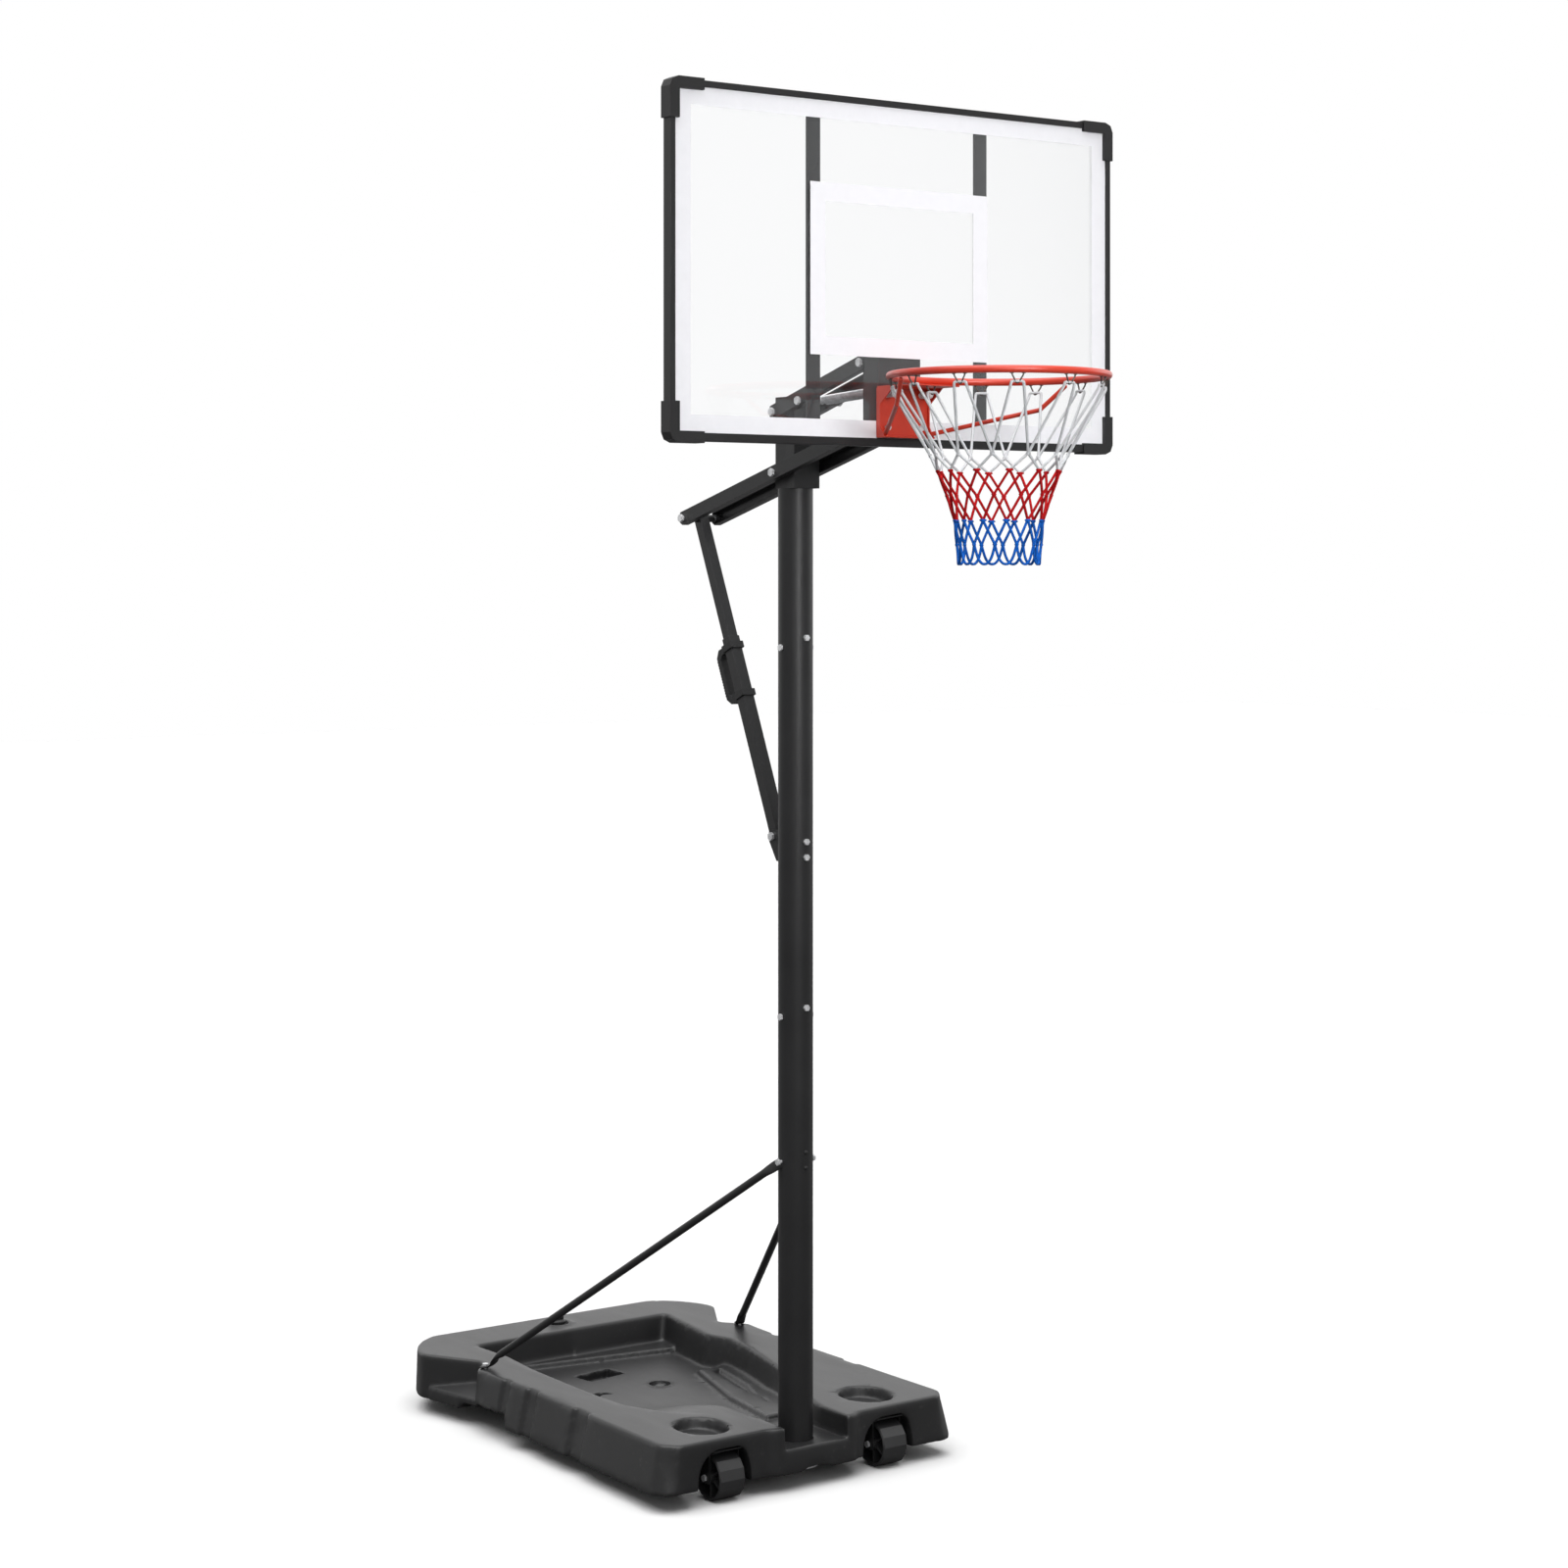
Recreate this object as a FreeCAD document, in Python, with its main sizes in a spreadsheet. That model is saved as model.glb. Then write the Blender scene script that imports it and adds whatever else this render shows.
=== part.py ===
import FreeCAD, Part
import Sketcher
import math
import os

# A portable basketball hoop: a water-filled base on two wheels, a three-piece pole, a pair of lifting
# linkages that hold the backboard, a telescoping height strut and a sprung rim with its net.
#
# Frame: millimetres, +Z up, the playing side faces -Y, and the floor is z = 0.  The origin is on the
# floor under the middle of the whole object.  Every place in y below is counted from the pole's axis,
# and place() adds pole_y, the axis's own y.

SIZES = {
    # pole
    "pole_y": -78.0, "pole_outer_radius": 40.65, "pole_wall": 2.0, "pole_foot_z": 39.0,
    "lower_joint_z": 1052.0, "upper_joint_z": 1908.0, "pole_top_z": 2300.0, "joint_overlap": 92.0,
    "joint_gap": 0.1, "foot_disc_radius": 56.0, "foot_disc_thick": 3.0,
    # base tank
    "base_top_z": 150.0, "base_under_z": 28.0, "base_edge_radius": 12.0, "base_half_side": 404.0,
    "base_front_y": -85.0, "base_back_y": 1137.0, "lobe_half_width": 441.0, "waist_half_width": 357.0,
    "seat_z": 96.0, "well_floor_z": 72.0, "well_half_width": 285.0, "well_back_y": 985.0,
    "channel_half_width": 88.0, "tank_wall": 6.0, "water_gap": 0.5, "water_top_z": 122.0, "foot_side": 80.0,
    "cap_radius": 31.0, "cap_y": 1060.0, "cap_thick": 9.0, "cap_neck_radius": 24.0,
    # wheels
    "wheel_radius": 54.0, "wheel_width": 70.0, "wheel_x": 232.0, "wheel_y": -28.0, "wheel_gap": 3.0,
    "axle_radius": 4.0, "running_gap": 0.06, "fork_plate": 3.0, "arch_half_width": 50.0,
    # braces
    "brace_radius": 9.0, "brace_pole_z": 740.0, "brace_foot_x": 380.0, "brace_foot_y": 775.0,
    "brace_foot_z": 160.0, "brace_pole_x": 53.0, "tab_thick": 5.0,
    # linkage
    "pivot_y": 13.5, "lower_pivot_z": 2337.0, "upper_pivot_z": 2477.5, "link_length": 350.7,
    "link_slope": 15.9, "lower_slope": 15.0, "rear_reach": 390.5, "arm_height": 32.0,
    "arm_width": 18.0, "arm_inner_x": 38.0, "arm_wall": 2.5, "arm_end": 12.0, "arm_chamfer": 8.0,
    "pivot_radius": 5.0, "boss_radius": 9.0, "bolt_head_radius": 9.8, "bolt_head_thick": 7.0,
    "head_gap": 0.4,
    # head bracket
    "head_half_width": 36.0, "head_front_y": -45.0, "head_back_y": 30.0, "head_top_z": 2512.0,
    "head_wall": 3.0, "head_plate": 6.0, "spigot_length": 70.0,
    # lifting springs
    "anchor_along": 104.9, "anchor_drop": 7.6, "spring_x": 12.3, "spring_radius": 9.5,
    "hanger_y": -330.0, "hanger_z": 2512.0, "spring_hook": 16.0,
    # height strut
    "strut_length": 815.8, "strut_lean": 23.53, "outer_tube": 30.0, "inner_tube": 25.6,
    "strut_wall": 2.0, "outer_tube_top": 503.0, "inner_tube_bottom": 252.0, "bush_half": 34.0,
    "ear_inner_x": 17.0, "ear_thick": 3.0, "lower_collar": 357.0, "upper_collar": 479.0,
    "collar_height": 16.0, "grip_reach": 58.0, "grip_thick": 14.0, "grip_width": 24.0,
    # backboard
    "board_front_y": -403.4, "board_half_width": 615.0, "board_low_z": 2384.0, "board_top_z": 3149.0,
    "frame_depth": 28.0, "side_lip": 12.5, "top_lip": 14.0, "bottom_lip": 18.0, "front_lip": 4.9,
    "rail_wall": 2.0, "panel_front_y": -398.4, "panel_thick": 4.0, "rail_inset": 25.0,
    "cap_arm": 88.0, "cap_face": 25.0, "cap_proud": 4.0, "cap_corner_radius": 22.0,
    "line_width": 41.0, "line_thick": 0.3, "target_half_width": 248.0, "target_low_z": 2580.5,
    "target_top_z": 2957.0, "border_inner_x": 561.0, "border_low_z": 2440.5, "border_top_z": 3096.0,
    "strip_middle_x": 234.0, "strip_width": 36.0, "strip_thick": 4.5,
    # board bracket
    "bracket_half_width": 58.5, "bracket_back_y": -342.0, "bracket_low_z": 2415.0,
    "bracket_top_z": 2592.0, "bracket_wall": 3.0, "lug_outer_x": 36.0, "lug_back_y": -308.0,
    # rim
    "rim_y": -740.0, "rim_z": 2525.0, "rim_radius": 233.0, "rod_radius": 8.0, "tray_half_width": 70.0,
    "tray_low_z": 2403.0, "tray_top_z": 2516.7, "tray_back_y": -404.4, "tray_wall": 3.0,
    "tray_front_y": -530.0, "tray_roll": 2.6, "tray_flange": 10.0, "tray_sill": 28.0, "fixing_x": 46.0,
    "fixing_z": 2426.0, "rim_spring_x": 49.0, "rim_spring_z": 2499.5, "rim_spring_radius": 8.0,
    "rim_spring_length": 33.0, "rim_bolt_radius": 3.5, "rim_brace_radius": 5.0, "hook_wire": 1.8,
    "hook_spread": 13.0, "hook_low_z": 2497.0, "net_wall": 3.0, "net_notch": 2.0,
}
TRAY_HOOK = 3  # the hook behind the ring hangs from the tray's shelf, a plate's thickness lower
NET_PROFILE = [(227.0, 2492.0), (146.0, 2355.0), (132.0, 2321.0), (95.0, 2216.0), (87.0, 2122.0)]

doc = FreeCAD.newDocument("BasketballHoop")
sheet = doc.addObject("Spreadsheet::Sheet", "Sizes")
for row, (name, value) in enumerate(SIZES.items(), start=1):
    sheet.set(f"A{row}", name)
    sheet.set(f"B{row}", str(value))
    sheet.setAlias(f"B{row}", name)
doc.recompute()


class Size:
    """A size worked out from the spreadsheet: its expression, and its value now."""

    def __init__(self, text, value):
        self.text = text
        self.value = float(value)

    @staticmethod
    def of(thing):
        return thing if isinstance(thing, Size) else Size(f"({thing!r})", thing)

    def joined(self, sign, other, value):
        return Size(f"({self.text} {sign} {other.text})", value)

    def __add__(self, other):
        other = Size.of(other)
        return self.joined("+", other, self.value + other.value)

    def __sub__(self, other):
        other = Size.of(other)
        return self.joined("-", other, self.value - other.value)

    def __mul__(self, other):
        other = Size.of(other)
        return self.joined("*", other, self.value * other.value)

    def __truediv__(self, other):
        other = Size.of(other)
        return self.joined("/", other, self.value / other.value)

    def __radd__(self, other):
        return Size.of(other) + self

    def __rsub__(self, other):
        return Size.of(other) - self

    def __rmul__(self, other):
        return Size.of(other) * self

    def __neg__(self):
        return Size(f"(-1 * {self.text})", -self.value)


class Sheet:
    """The spreadsheet's cells as attributes."""

    def __getattr__(self, name):
        return Size(f"Sizes.{name}", SIZES[name])


s = Sheet()


def sine(angle):
    return Size(f"sin({angle.text})", math.sin(math.radians(angle.value)))


def cosine(angle):
    return Size(f"cos({angle.text})", math.cos(math.radians(angle.value)))


# ---- helpers -------------------------------------------------------------------------------------

X_AXIS = FreeCAD.Vector(1, 0, 0)
MINUS_X = FreeCAD.Vector(-1, 0, 0)
Y_AXIS = FreeCAD.Vector(0, 1, 0)
Z_AXIS = FreeCAD.Vector(0, 0, 1)
NO_TURN = FreeCAD.Rotation()
ALONG = {"x": FreeCAD.Rotation(Y_AXIS, 90), "y": FreeCAD.Rotation(X_AXIS, -90), "z": NO_TURN}


def bind(item, **sizes):
    for prop, size in sizes.items():
        item.setExpression(prop, Size.of(size).text)


def place(item, x, y, z, rotation=NO_TURN):
    """Put an item at a place counted from the pole's axis and the floor."""
    y = s.pole_y + y
    spot = FreeCAD.Vector(*(Size.of(size).value for size in (x, y, z)))
    item.Placement = FreeCAD.Placement(spot, rotation)
    for axis, size in zip("xyz", (x, y, z)):
        item.setExpression(f"Placement.Base.{axis}", Size.of(size).text)
    return item


def block(label, x, y, z, rotation=NO_TURN):
    """A box between two places on each axis."""
    item = doc.addObject("Part::Box", label)
    bind(item, Length=Size.of(x[1]) - x[0], Width=Size.of(y[1]) - y[0], Height=Size.of(z[1]) - z[0])
    return place(item, x[0], y[0], z[0], rotation)


def rod(label, radius, length, start, along="z"):
    item = doc.addObject("Part::Cylinder", label)
    bind(item, Radius=radius, Height=length)
    return place(item, *start, ALONG[along])


def rod_between(label, radius, start, end):
    """A straight rod from one place to another."""
    ends = [FreeCAD.Vector(*(Size.of(size).value for size in spot)) for spot in (start, end)]
    way = ends[1] - ends[0]
    item = doc.addObject("Part::Cylinder", label)
    bind(item, Radius=radius, Height=way.Length)
    return place(item, *start, FreeCAD.Rotation(Z_AXIS, way))


def ball(label, radius, centre):
    item = doc.addObject("Part::Sphere", label)
    bind(item, Radius=radius)
    return place(item, *centre)


def hexagon(label, radius, thick, start, along):
    item = doc.addObject("Part::Prism", label)
    item.Polygon = 6
    bind(item, Circumradius=radius, Height=thick)
    return place(item, *start, ALONG[along])


def fuse(label, *items):
    item = doc.addObject("Part::MultiFuse", label)
    item.Shapes = list(items)
    return item


def cut(label, base, *tools):
    item = doc.addObject("Part::Cut", label)
    item.Base = base
    item.Tool = tools[0] if len(tools) == 1 else fuse(label + "_space", *tools)
    return item


def group(label, *items):
    item = doc.addObject("Part::Compound", label)
    item.Links = list(items)
    return item


def mirrored(label, source):
    """The same item on the other side of the plane x = 0."""
    item = doc.addObject("Part::Mirroring", label)
    item.Source = source
    item.Normal = X_AXIS
    return item


def tube(label, outer, inner, length, start, along="z"):
    skin = rod(label + "_skin", outer, length, start, along)
    bore = rod(label + "_bore", inner, length, start, along)
    return cut(label, skin, bore)


def bolt(label, radius, start, length, along, nut=True):
    """A hexagon bolt: its head is at start, and a nut ends the shank."""
    x, y, z = start
    step = s.bolt_head_thick * (radius / s.pivot_radius)
    head = hexagon(label + "_head", radius * 1.96, step, start, along)
    shank = rod(label + "_shank", radius, length, start, along)
    if not nut:
        return fuse(label, head, shank)
    shift = {"x": (length - step, 0, 0), "y": (0, length - step, 0), "z": (0, 0, length - step)}[along]
    far = hexagon(label + "_nut", radius * 1.96, step, (x + shift[0], y + shift[1], z + shift[2]), along)
    return fuse(label, head, shank, far)


class Body:
    """A PartDesign body with sketches on its own origin planes."""

    def __init__(self, label):
        self.item = doc.addObject("PartDesign::Body", label)
        self.count = 0

    def sketch(self, plane, offset=0.0):
        self.count += 1
        sketch = self.item.newObject("Sketcher::SketchObject", f"{self.item.Name}_sketch{self.count}")
        datum = next(f for f in self.item.Origin.OriginFeatures if f.Role == plane)
        sketch.AttachmentSupport = [(datum, "")]
        sketch.MapMode = "FlatFace"
        offset = Size.of(offset)
        sketch.AttachmentOffset = FreeCAD.Placement(FreeCAD.Vector(0, 0, offset.value), NO_TURN)
        sketch.setExpression("AttachmentOffset.Base.z", offset.text)
        return sketch

    def outline(self, plane, corners, offset=0.0):
        """A closed polygon whose corners are pairs of sizes."""
        sketch = self.sketch(plane, offset)
        corners = [(Size.of(a), Size.of(b)) for a, b in corners]
        spots = [FreeCAD.Vector(a.value, b.value, 0) for a, b in corners]
        count = len(spots)
        for i in range(count):
            sketch.addGeometry(Part.LineSegment(spots[i], spots[(i + 1) % count]), False)
        for i in range(count):
            sketch.addConstraint(Sketcher.Constraint("Coincident", i, 2, (i + 1) % count, 1))
        for i, (a, b) in enumerate(corners):
            for kind, size in (("DistanceX", a), ("DistanceY", b)):
                index = sketch.addConstraint(Sketcher.Constraint(kind, i, 1, size.value))
                sketch.setExpression(f"Constraints[{index}]", size.text)
        return sketch

    def circles(self, plane, circles, offset=0.0):
        """Circles, each a centre's pair of sizes and a radius."""
        sketch = self.sketch(plane, offset)
        for i, (a, b, radius) in enumerate(circles):
            a, b, radius = Size.of(a), Size.of(b), Size.of(radius)
            centre = FreeCAD.Vector(a.value, b.value, 0)
            sketch.addGeometry(Part.Circle(centre, Z_AXIS, radius.value), False)
            for kind, spot, size in (("DistanceX", 3, a), ("DistanceY", 3, b)):
                index = sketch.addConstraint(Sketcher.Constraint(kind, i, spot, size.value))
                sketch.setExpression(f"Constraints[{index}]", size.text)
            index = sketch.addConstraint(Sketcher.Constraint("Radius", i, radius.value))
            sketch.setExpression(f"Constraints[{index}]", radius.text)
        return sketch

    def feature(self, kind, sketch, length=None, both=False, back=False):
        item = self.item.newObject(f"PartDesign::{kind}", f"{sketch.Name}_{kind.lower()}")
        item.Profile = sketch
        if length is None:
            item.Type = "ThroughAll"
        else:
            item.setExpression("Length", Size.of(length).text)
        if both:
            item.SideType = "Symmetric"
        item.Reversed = back
        sketch.Visibility = False
        return item

    def pad(self, sketch, length, both=False, back=False):
        return self.feature("Pad", sketch, length, both, back)

    def pocket(self, sketch, length=None, both=False, back=False):
        return self.feature("Pocket", sketch, length, both, back)

    def revolve(self, sketch, axis):
        item = self.item.newObject("PartDesign::Revolution", f"{sketch.Name}_turned")
        item.Profile = sketch
        item.ReferenceAxis = (sketch, [axis])
        item.Angle = 360
        return item

    def round_edges(self, radius, chosen):
        """Round the edges of the latest feature that the test picks."""
        doc.recompute()
        base = self.item.Tip
        edges = [f"Edge{i}" for i, edge in enumerate(base.Shape.Edges, start=1) if chosen(edge)]
        item = self.item.newObject("PartDesign::Fillet", f"{self.item.Name}_round{self.count}")
        item.Base = (base, edges)
        item.setExpression("Radius", Size.of(radius).text)
        return item

    def place(self, x=0.0, y=0.0, z=0.0, rotation=NO_TURN):
        return place(self.item, x, y, z, rotation)


def prism(label, plane, corners, start, length, back=False):
    """A straight-sided solid on an outline."""
    body = Body(label)
    body.pad(body.outline(plane, corners, start), length, back=back)
    return body.place()


# ---- base ----------------------------------------------------------------------------------------

def base_outline():
    """The tank's outline seen from above: a waist for lifting in front of the wide rear lobe."""
    half = [
        (110, s.base_front_y), (128, -71), (370, -70), (s.base_half_side, -33), (396, 500), (408, 772),
        (s.waist_half_width + 5, 822), (s.waist_half_width, 840), (s.lobe_half_width, 984),
        (s.lobe_half_width, 1060), (s.lobe_half_width - 22, 1112), (s.lobe_half_width - 70, s.base_back_y),
    ]
    return half + [(-1 * Size.of(x), y) for x, y in reversed(half)]


def well_space():
    """The open well behind the pole: wide at the rear, narrow where it meets the pole's channel."""
    half = [
        (s.channel_half_width, s.base_front_y - 5), (s.channel_half_width, 50), (226, 393),
        (s.well_half_width - 5, 640), (s.well_half_width, s.well_back_y),
    ]
    corners = half + [(-1 * Size.of(x), y) for x, y in reversed(half)]
    plan = prism("well_plan", "XY_Plane", corners, s.well_floor_z - 20, 200)
    side = [
        (s.base_front_y - 5, s.seat_z), (110, s.seat_z), (420, s.well_floor_z),
        (s.well_back_y + 5, s.well_floor_z), (s.well_back_y + 5, 200), (s.base_front_y - 5, 200),
    ]
    slope = prism("well_side", "YZ_Plane", side, -300, 600)
    space = doc.addObject("Part::Common", "well_space")
    space.Base = plan
    space.Tool = slope
    return space


def tank_rooms(label, inset, high):
    """The hollow inside the tank up to a height, as five joined rooms round and under the well."""
    low = s.base_under_z + s.tank_wall + inset
    deck = s.well_floor_z - s.tank_wall - inset
    side = s.base_half_side - 2 * s.tank_wall - 14 - inset
    rooms = [
        block(label + "_floor", (-side, side), (110 + inset, 760 - inset), (low, deck)),
        block(label + "_rear", (-345 + inset, 345 - inset), (700, 1115 - inset), (low, deck)),
        block(label + "_lobe", (-345 + inset, 345 - inset), (1000 + inset, 1115 - inset), (low, high)),
    ]
    for name, sign in (("left", -1), ("right", 1)):
        x = sorted((sign * (300 + inset), sign * side), key=lambda size: size.value)
        rooms.append(block(f"{label}_{name}", x, (110 + inset, 760 - inset), (low, high)))
    return fuse(label, *rooms)


def base_tank():
    body = Body("tank_shell")
    body.pad(body.outline("XY_Plane", base_outline(), s.base_under_z), s.base_top_z - s.base_under_z)
    top = SIZES["base_top_z"]
    body.round_edges(s.base_edge_radius, lambda edge: edge.BoundBox.ZMin > top - 0.01)
    body.place()
    feet = []
    for x in (-330, 330):
        for y in (10, 560, 1030):
            feet.append(block("tank_foot", (x - 40, x + s.foot_side - 40), (y - 40, y + s.foot_side - 40),
                              (0, s.base_under_z)))
    spaces = [
        well_space(),
        tank_rooms("tank_hollow", Size.of(0.0), s.base_top_z - s.tank_wall),
        rod("pole_hole", s.pole_outer_radius + 0.3, 200, (0, 0, 0)),
        rod("disc_recess", s.foot_disc_radius + 2, s.pole_foot_z + 0.1, (0, 0, 0)),
        rod("filler_hole", s.cap_neck_radius + 0.1, 60, (0, s.cap_y, 120)),
    ]
    arch_top = 2 * s.wheel_radius + 16
    for sign in (-1, 1):
        x = sign * s.wheel_x
        spaces.append(block("wheel_arch", (x - s.arch_half_width, x + s.arch_half_width),
                            (s.base_front_y - 5, 46), (0, arch_top)))
        spaces.append(block("cup_recess", (sign * 238 - 60, sign * 238 + 60), (-28, 108),
                            (s.base_top_z - 20, s.base_top_z + 5)))
        spaces.append(rod("brace_bolt_hole", 4.1, 60, (sign * s.brace_foot_x, s.brace_foot_y, 110)))
    return cut("base_tank", fuse("tank_solid", body.item, *feet), *spaces)


def filler_cap():
    """A round screw cap in a ring on the rear lobe, with a low bar to turn it by."""
    spot = (0, s.cap_y, s.base_top_z + 0.3)
    head = rod("cap_head", s.cap_radius - 8, s.cap_thick, spot)
    neck = rod("cap_neck", s.cap_neck_radius - 0.4, 24, (0, s.cap_y, s.base_top_z - 23.7))
    bar = block("cap_bar", (-18, 18), (s.cap_y - 4, s.cap_y + 4),
                (s.base_top_z + s.cap_thick + 0.3, s.base_top_z + s.cap_thick + 8.3))
    return fuse("filler_cap", head, neck, bar)


# ---- wheels --------------------------------------------------------------------------------------

def wheel(label, sign):
    """A hollow-sided wheel with a plain tread: turned profile, then spoke windows through the web."""
    half = s.wheel_width / 2
    body = Body(label + "_turned")
    profile = [
        (s.axle_radius + s.running_gap, -half), (15, -half), (15, -5), (s.wheel_radius - 7, -5),
        (s.wheel_radius - 7, -half), (s.wheel_radius - 2, -half), (s.wheel_radius, -half + 3),
        (s.wheel_radius, half - 3), (s.wheel_radius - 2, half), (s.wheel_radius - 7, half),
        (s.wheel_radius - 7, 5), (15, 5), (15, half), (s.axle_radius + s.running_gap, half),
    ]
    body.revolve(body.outline("XY_Plane", profile), "V_Axis")
    body.place(sign * s.wheel_x, s.wheel_y, s.wheel_radius, FreeCAD.Rotation(Z_AXIS, -90))
    windows = []
    for step in range(6):
        turn = math.radians(60 * step + 30)
        windows.append(rod("spoke_window", 8.5, 20, (sign * s.wheel_x - 10,
                                                    s.wheel_y + 31 * math.cos(turn),
                                                    s.wheel_radius + 31 * math.sin(turn)), "x"))
    return cut(label, body.item, *windows)


def wheel_fork(label, sign):
    """A folded bracket up inside the arch that carries the axle on both sides of the wheel."""
    x = sign * s.wheel_x
    reach = s.wheel_width / 2 + s.wheel_gap
    top = 2 * s.wheel_radius + 12
    roof = block("fork_roof", (x - reach - s.fork_plate, x + reach + s.fork_plate), (-62, 6),
                 (top - s.fork_plate, top))
    sides = []
    for edge in (x - reach - s.fork_plate, x + reach):
        sides.append(block("fork_side", (edge, edge + s.fork_plate), (s.wheel_y - 16, s.wheel_y + 16),
                           (s.wheel_radius - 12, top - s.fork_plate)))
    hole = rod("fork_hole", s.axle_radius + 0.05, 100, (x - 50, s.wheel_y, s.wheel_radius), "x")
    return cut(label, fuse(label + "_plates", roof, *sides), hole)


def wheel_axles():
    axles = []
    length = s.wheel_width + 2 * (s.wheel_gap + s.fork_plate) + 2 * (s.head_gap + 5.6)
    for sign in (-1, 1):
        start = (sign * s.wheel_x - length / 2, s.wheel_y, s.wheel_radius)
        axles.append(bolt("axle", s.axle_radius, start, length, "x"))
    return group("wheel_axles", *axles)


# ---- pole ----------------------------------------------------------------------------------------

def pole_section(label, low, high, swaged):
    """A length of tube; all but the top one end in a narrower neck that the next one slides over."""
    outer = s.pole_outer_radius
    inner = outer - s.pole_wall
    if not swaged:
        return tube(label, outer, inner, high - low, (0, 0, low))
    neck = inner - s.joint_gap
    skin = fuse(label + "_skin", rod(label + "_tube", outer, high - low, (0, 0, low)),
                rod(label + "_neck", neck, high + s.joint_overlap - low, (0, 0, low)))
    bore = rod(label + "_bore", neck - s.pole_wall, high + s.joint_overlap - low, (0, 0, low))
    socket = rod(label + "_socket", inner, high - s.pole_wall - low, (0, 0, low))
    return cut(label, skin, bore, socket)


def drilled(label, item, holes):
    """An item with round through-holes, each a radius, a start place and a direction."""
    drills = [rod(label + "_drill", radius, 140, start, along) for radius, start, along in holes]
    return cut(label, item, *drills)


def joint_holes(joint):
    """The two crossed bolt holes just above a pole joint."""
    return [(s.axle_radius + 0.1, (0, -70, joint + 46), "y"), (s.axle_radius + 0.1, (-70, 0, joint + 23), "x")]


def pole_parts():
    tab_hole = (s.axle_radius + 0.1, (-70, 0, s.brace_pole_z), "x")
    strut_holes = [(s.axle_radius + 0.1, (0, -70, z), "y") for z in strut_bracket_bolt_heights()]
    low, middle = joint_holes(s.lower_joint_z), joint_holes(s.upper_joint_z)
    drilled("pole_lower", pole_section("pole_low", s.pole_foot_z, s.lower_joint_z, True), low + [tab_hole])
    drilled("pole_middle", pole_section("pole_mid", s.lower_joint_z, s.upper_joint_z, True),
            low + middle + strut_holes)
    drilled("pole_upper", pole_section("pole_up", s.upper_joint_z, s.pole_top_z, False), middle)
    length = 2 * s.pole_outer_radius + 2 * (s.head_gap + 5.6)
    bolts = []
    for joint in (s.lower_joint_z, s.upper_joint_z):
        bolts.append(bolt("joint_bolt", s.axle_radius, (0, -length / 2, joint + 46), length, "y"))
        bolts.append(bolt("joint_bolt", s.axle_radius, (-length / 2, 0, joint + 23), length, "x"))
    group("pole_joint_bolts", *bolts)
    rod("pole_foot_disc", s.foot_disc_radius, s.foot_disc_thick, (0, 0, s.pole_foot_z - s.foot_disc_thick))


# ---- braces --------------------------------------------------------------------------------------

def brace_right():
    """A tube from the pole's side down to the tank's deck, with a flattened tab at each end."""
    pole_end = (s.brace_pole_x + 4, 18, s.brace_pole_z - 13)
    foot_end = (s.brace_foot_x - 9, s.brace_foot_y - 22, s.brace_foot_z + 10)
    shaft = rod_between("brace_shaft", s.brace_radius, pole_end, foot_end)
    upper = block("brace_upper_tab", (s.pole_outer_radius + 0.4, s.pole_outer_radius + 0.4 + s.tab_thick),
                  (-12, 30), (s.brace_pole_z - 27, s.brace_pole_z + 12))
    upper_end = block("brace_upper_end", (s.pole_outer_radius + 3, s.brace_pole_x + 9), (11, 29),
                      (s.brace_pole_z - 26, s.brace_pole_z - 9))
    lower = block("brace_lower_tab", (s.brace_foot_x - 16, s.brace_foot_x + 14),
                  (s.brace_foot_y - 24, s.brace_foot_y + 15), (s.base_top_z + 0.3, s.base_top_z + 0.3 + s.tab_thick))
    lower_end = block("brace_lower_end", (s.brace_foot_x - 18, s.brace_foot_x - 1),
                      (s.brace_foot_y - 34, s.brace_foot_y - 15), (s.base_top_z + 0.3, s.brace_foot_z + 12))
    solid = fuse("brace_solid", shaft, upper, upper_end, lower, lower_end)
    holes = [rod("brace_hole", s.axle_radius + 0.1, 140, (-70, 0, s.brace_pole_z), "x"),
             rod("brace_hole", s.axle_radius + 0.1, 30, (s.brace_foot_x, s.brace_foot_y, 145))]
    return cut("brace_right", solid, *holes)


def brace_bolts():
    half = s.pole_outer_radius + 2 * s.tab_thick + 2.4 + s.head_gap
    bolts = [bolt("brace_top_bolt", s.axle_radius, (-half, 0, s.brace_pole_z), 2 * half, "x")]
    for sign in (-1, 1):
        x, y = sign * s.brace_foot_x, s.brace_foot_y
        head = hexagon("brace_foot_head", 7.8, 6, (x, y, s.base_top_z + s.tab_thick + 0.6), "z")
        bolts.append(fuse("brace_foot_bolt", head, rod("brace_foot_shank", s.axle_radius, 34,
                                                       (x, y, s.base_top_z - 28))))
    return group("brace_bolts", *bolts)


# ---- head bracket and height strut ---------------------------------------------------------------

def rear_pin_place():
    return (s.pivot_y + s.rear_reach * cosine(s.lower_slope),
            s.lower_pivot_z - s.rear_reach * sine(s.lower_slope))


def strut_foot_place():
    y, z = rear_pin_place()
    return y - s.strut_length * sine(s.strut_lean), z - s.strut_length * cosine(s.strut_lean)


def strut_bracket_bolt_heights():
    foot_z = strut_foot_place()[1]
    return foot_z - 6, foot_z - 42


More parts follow.
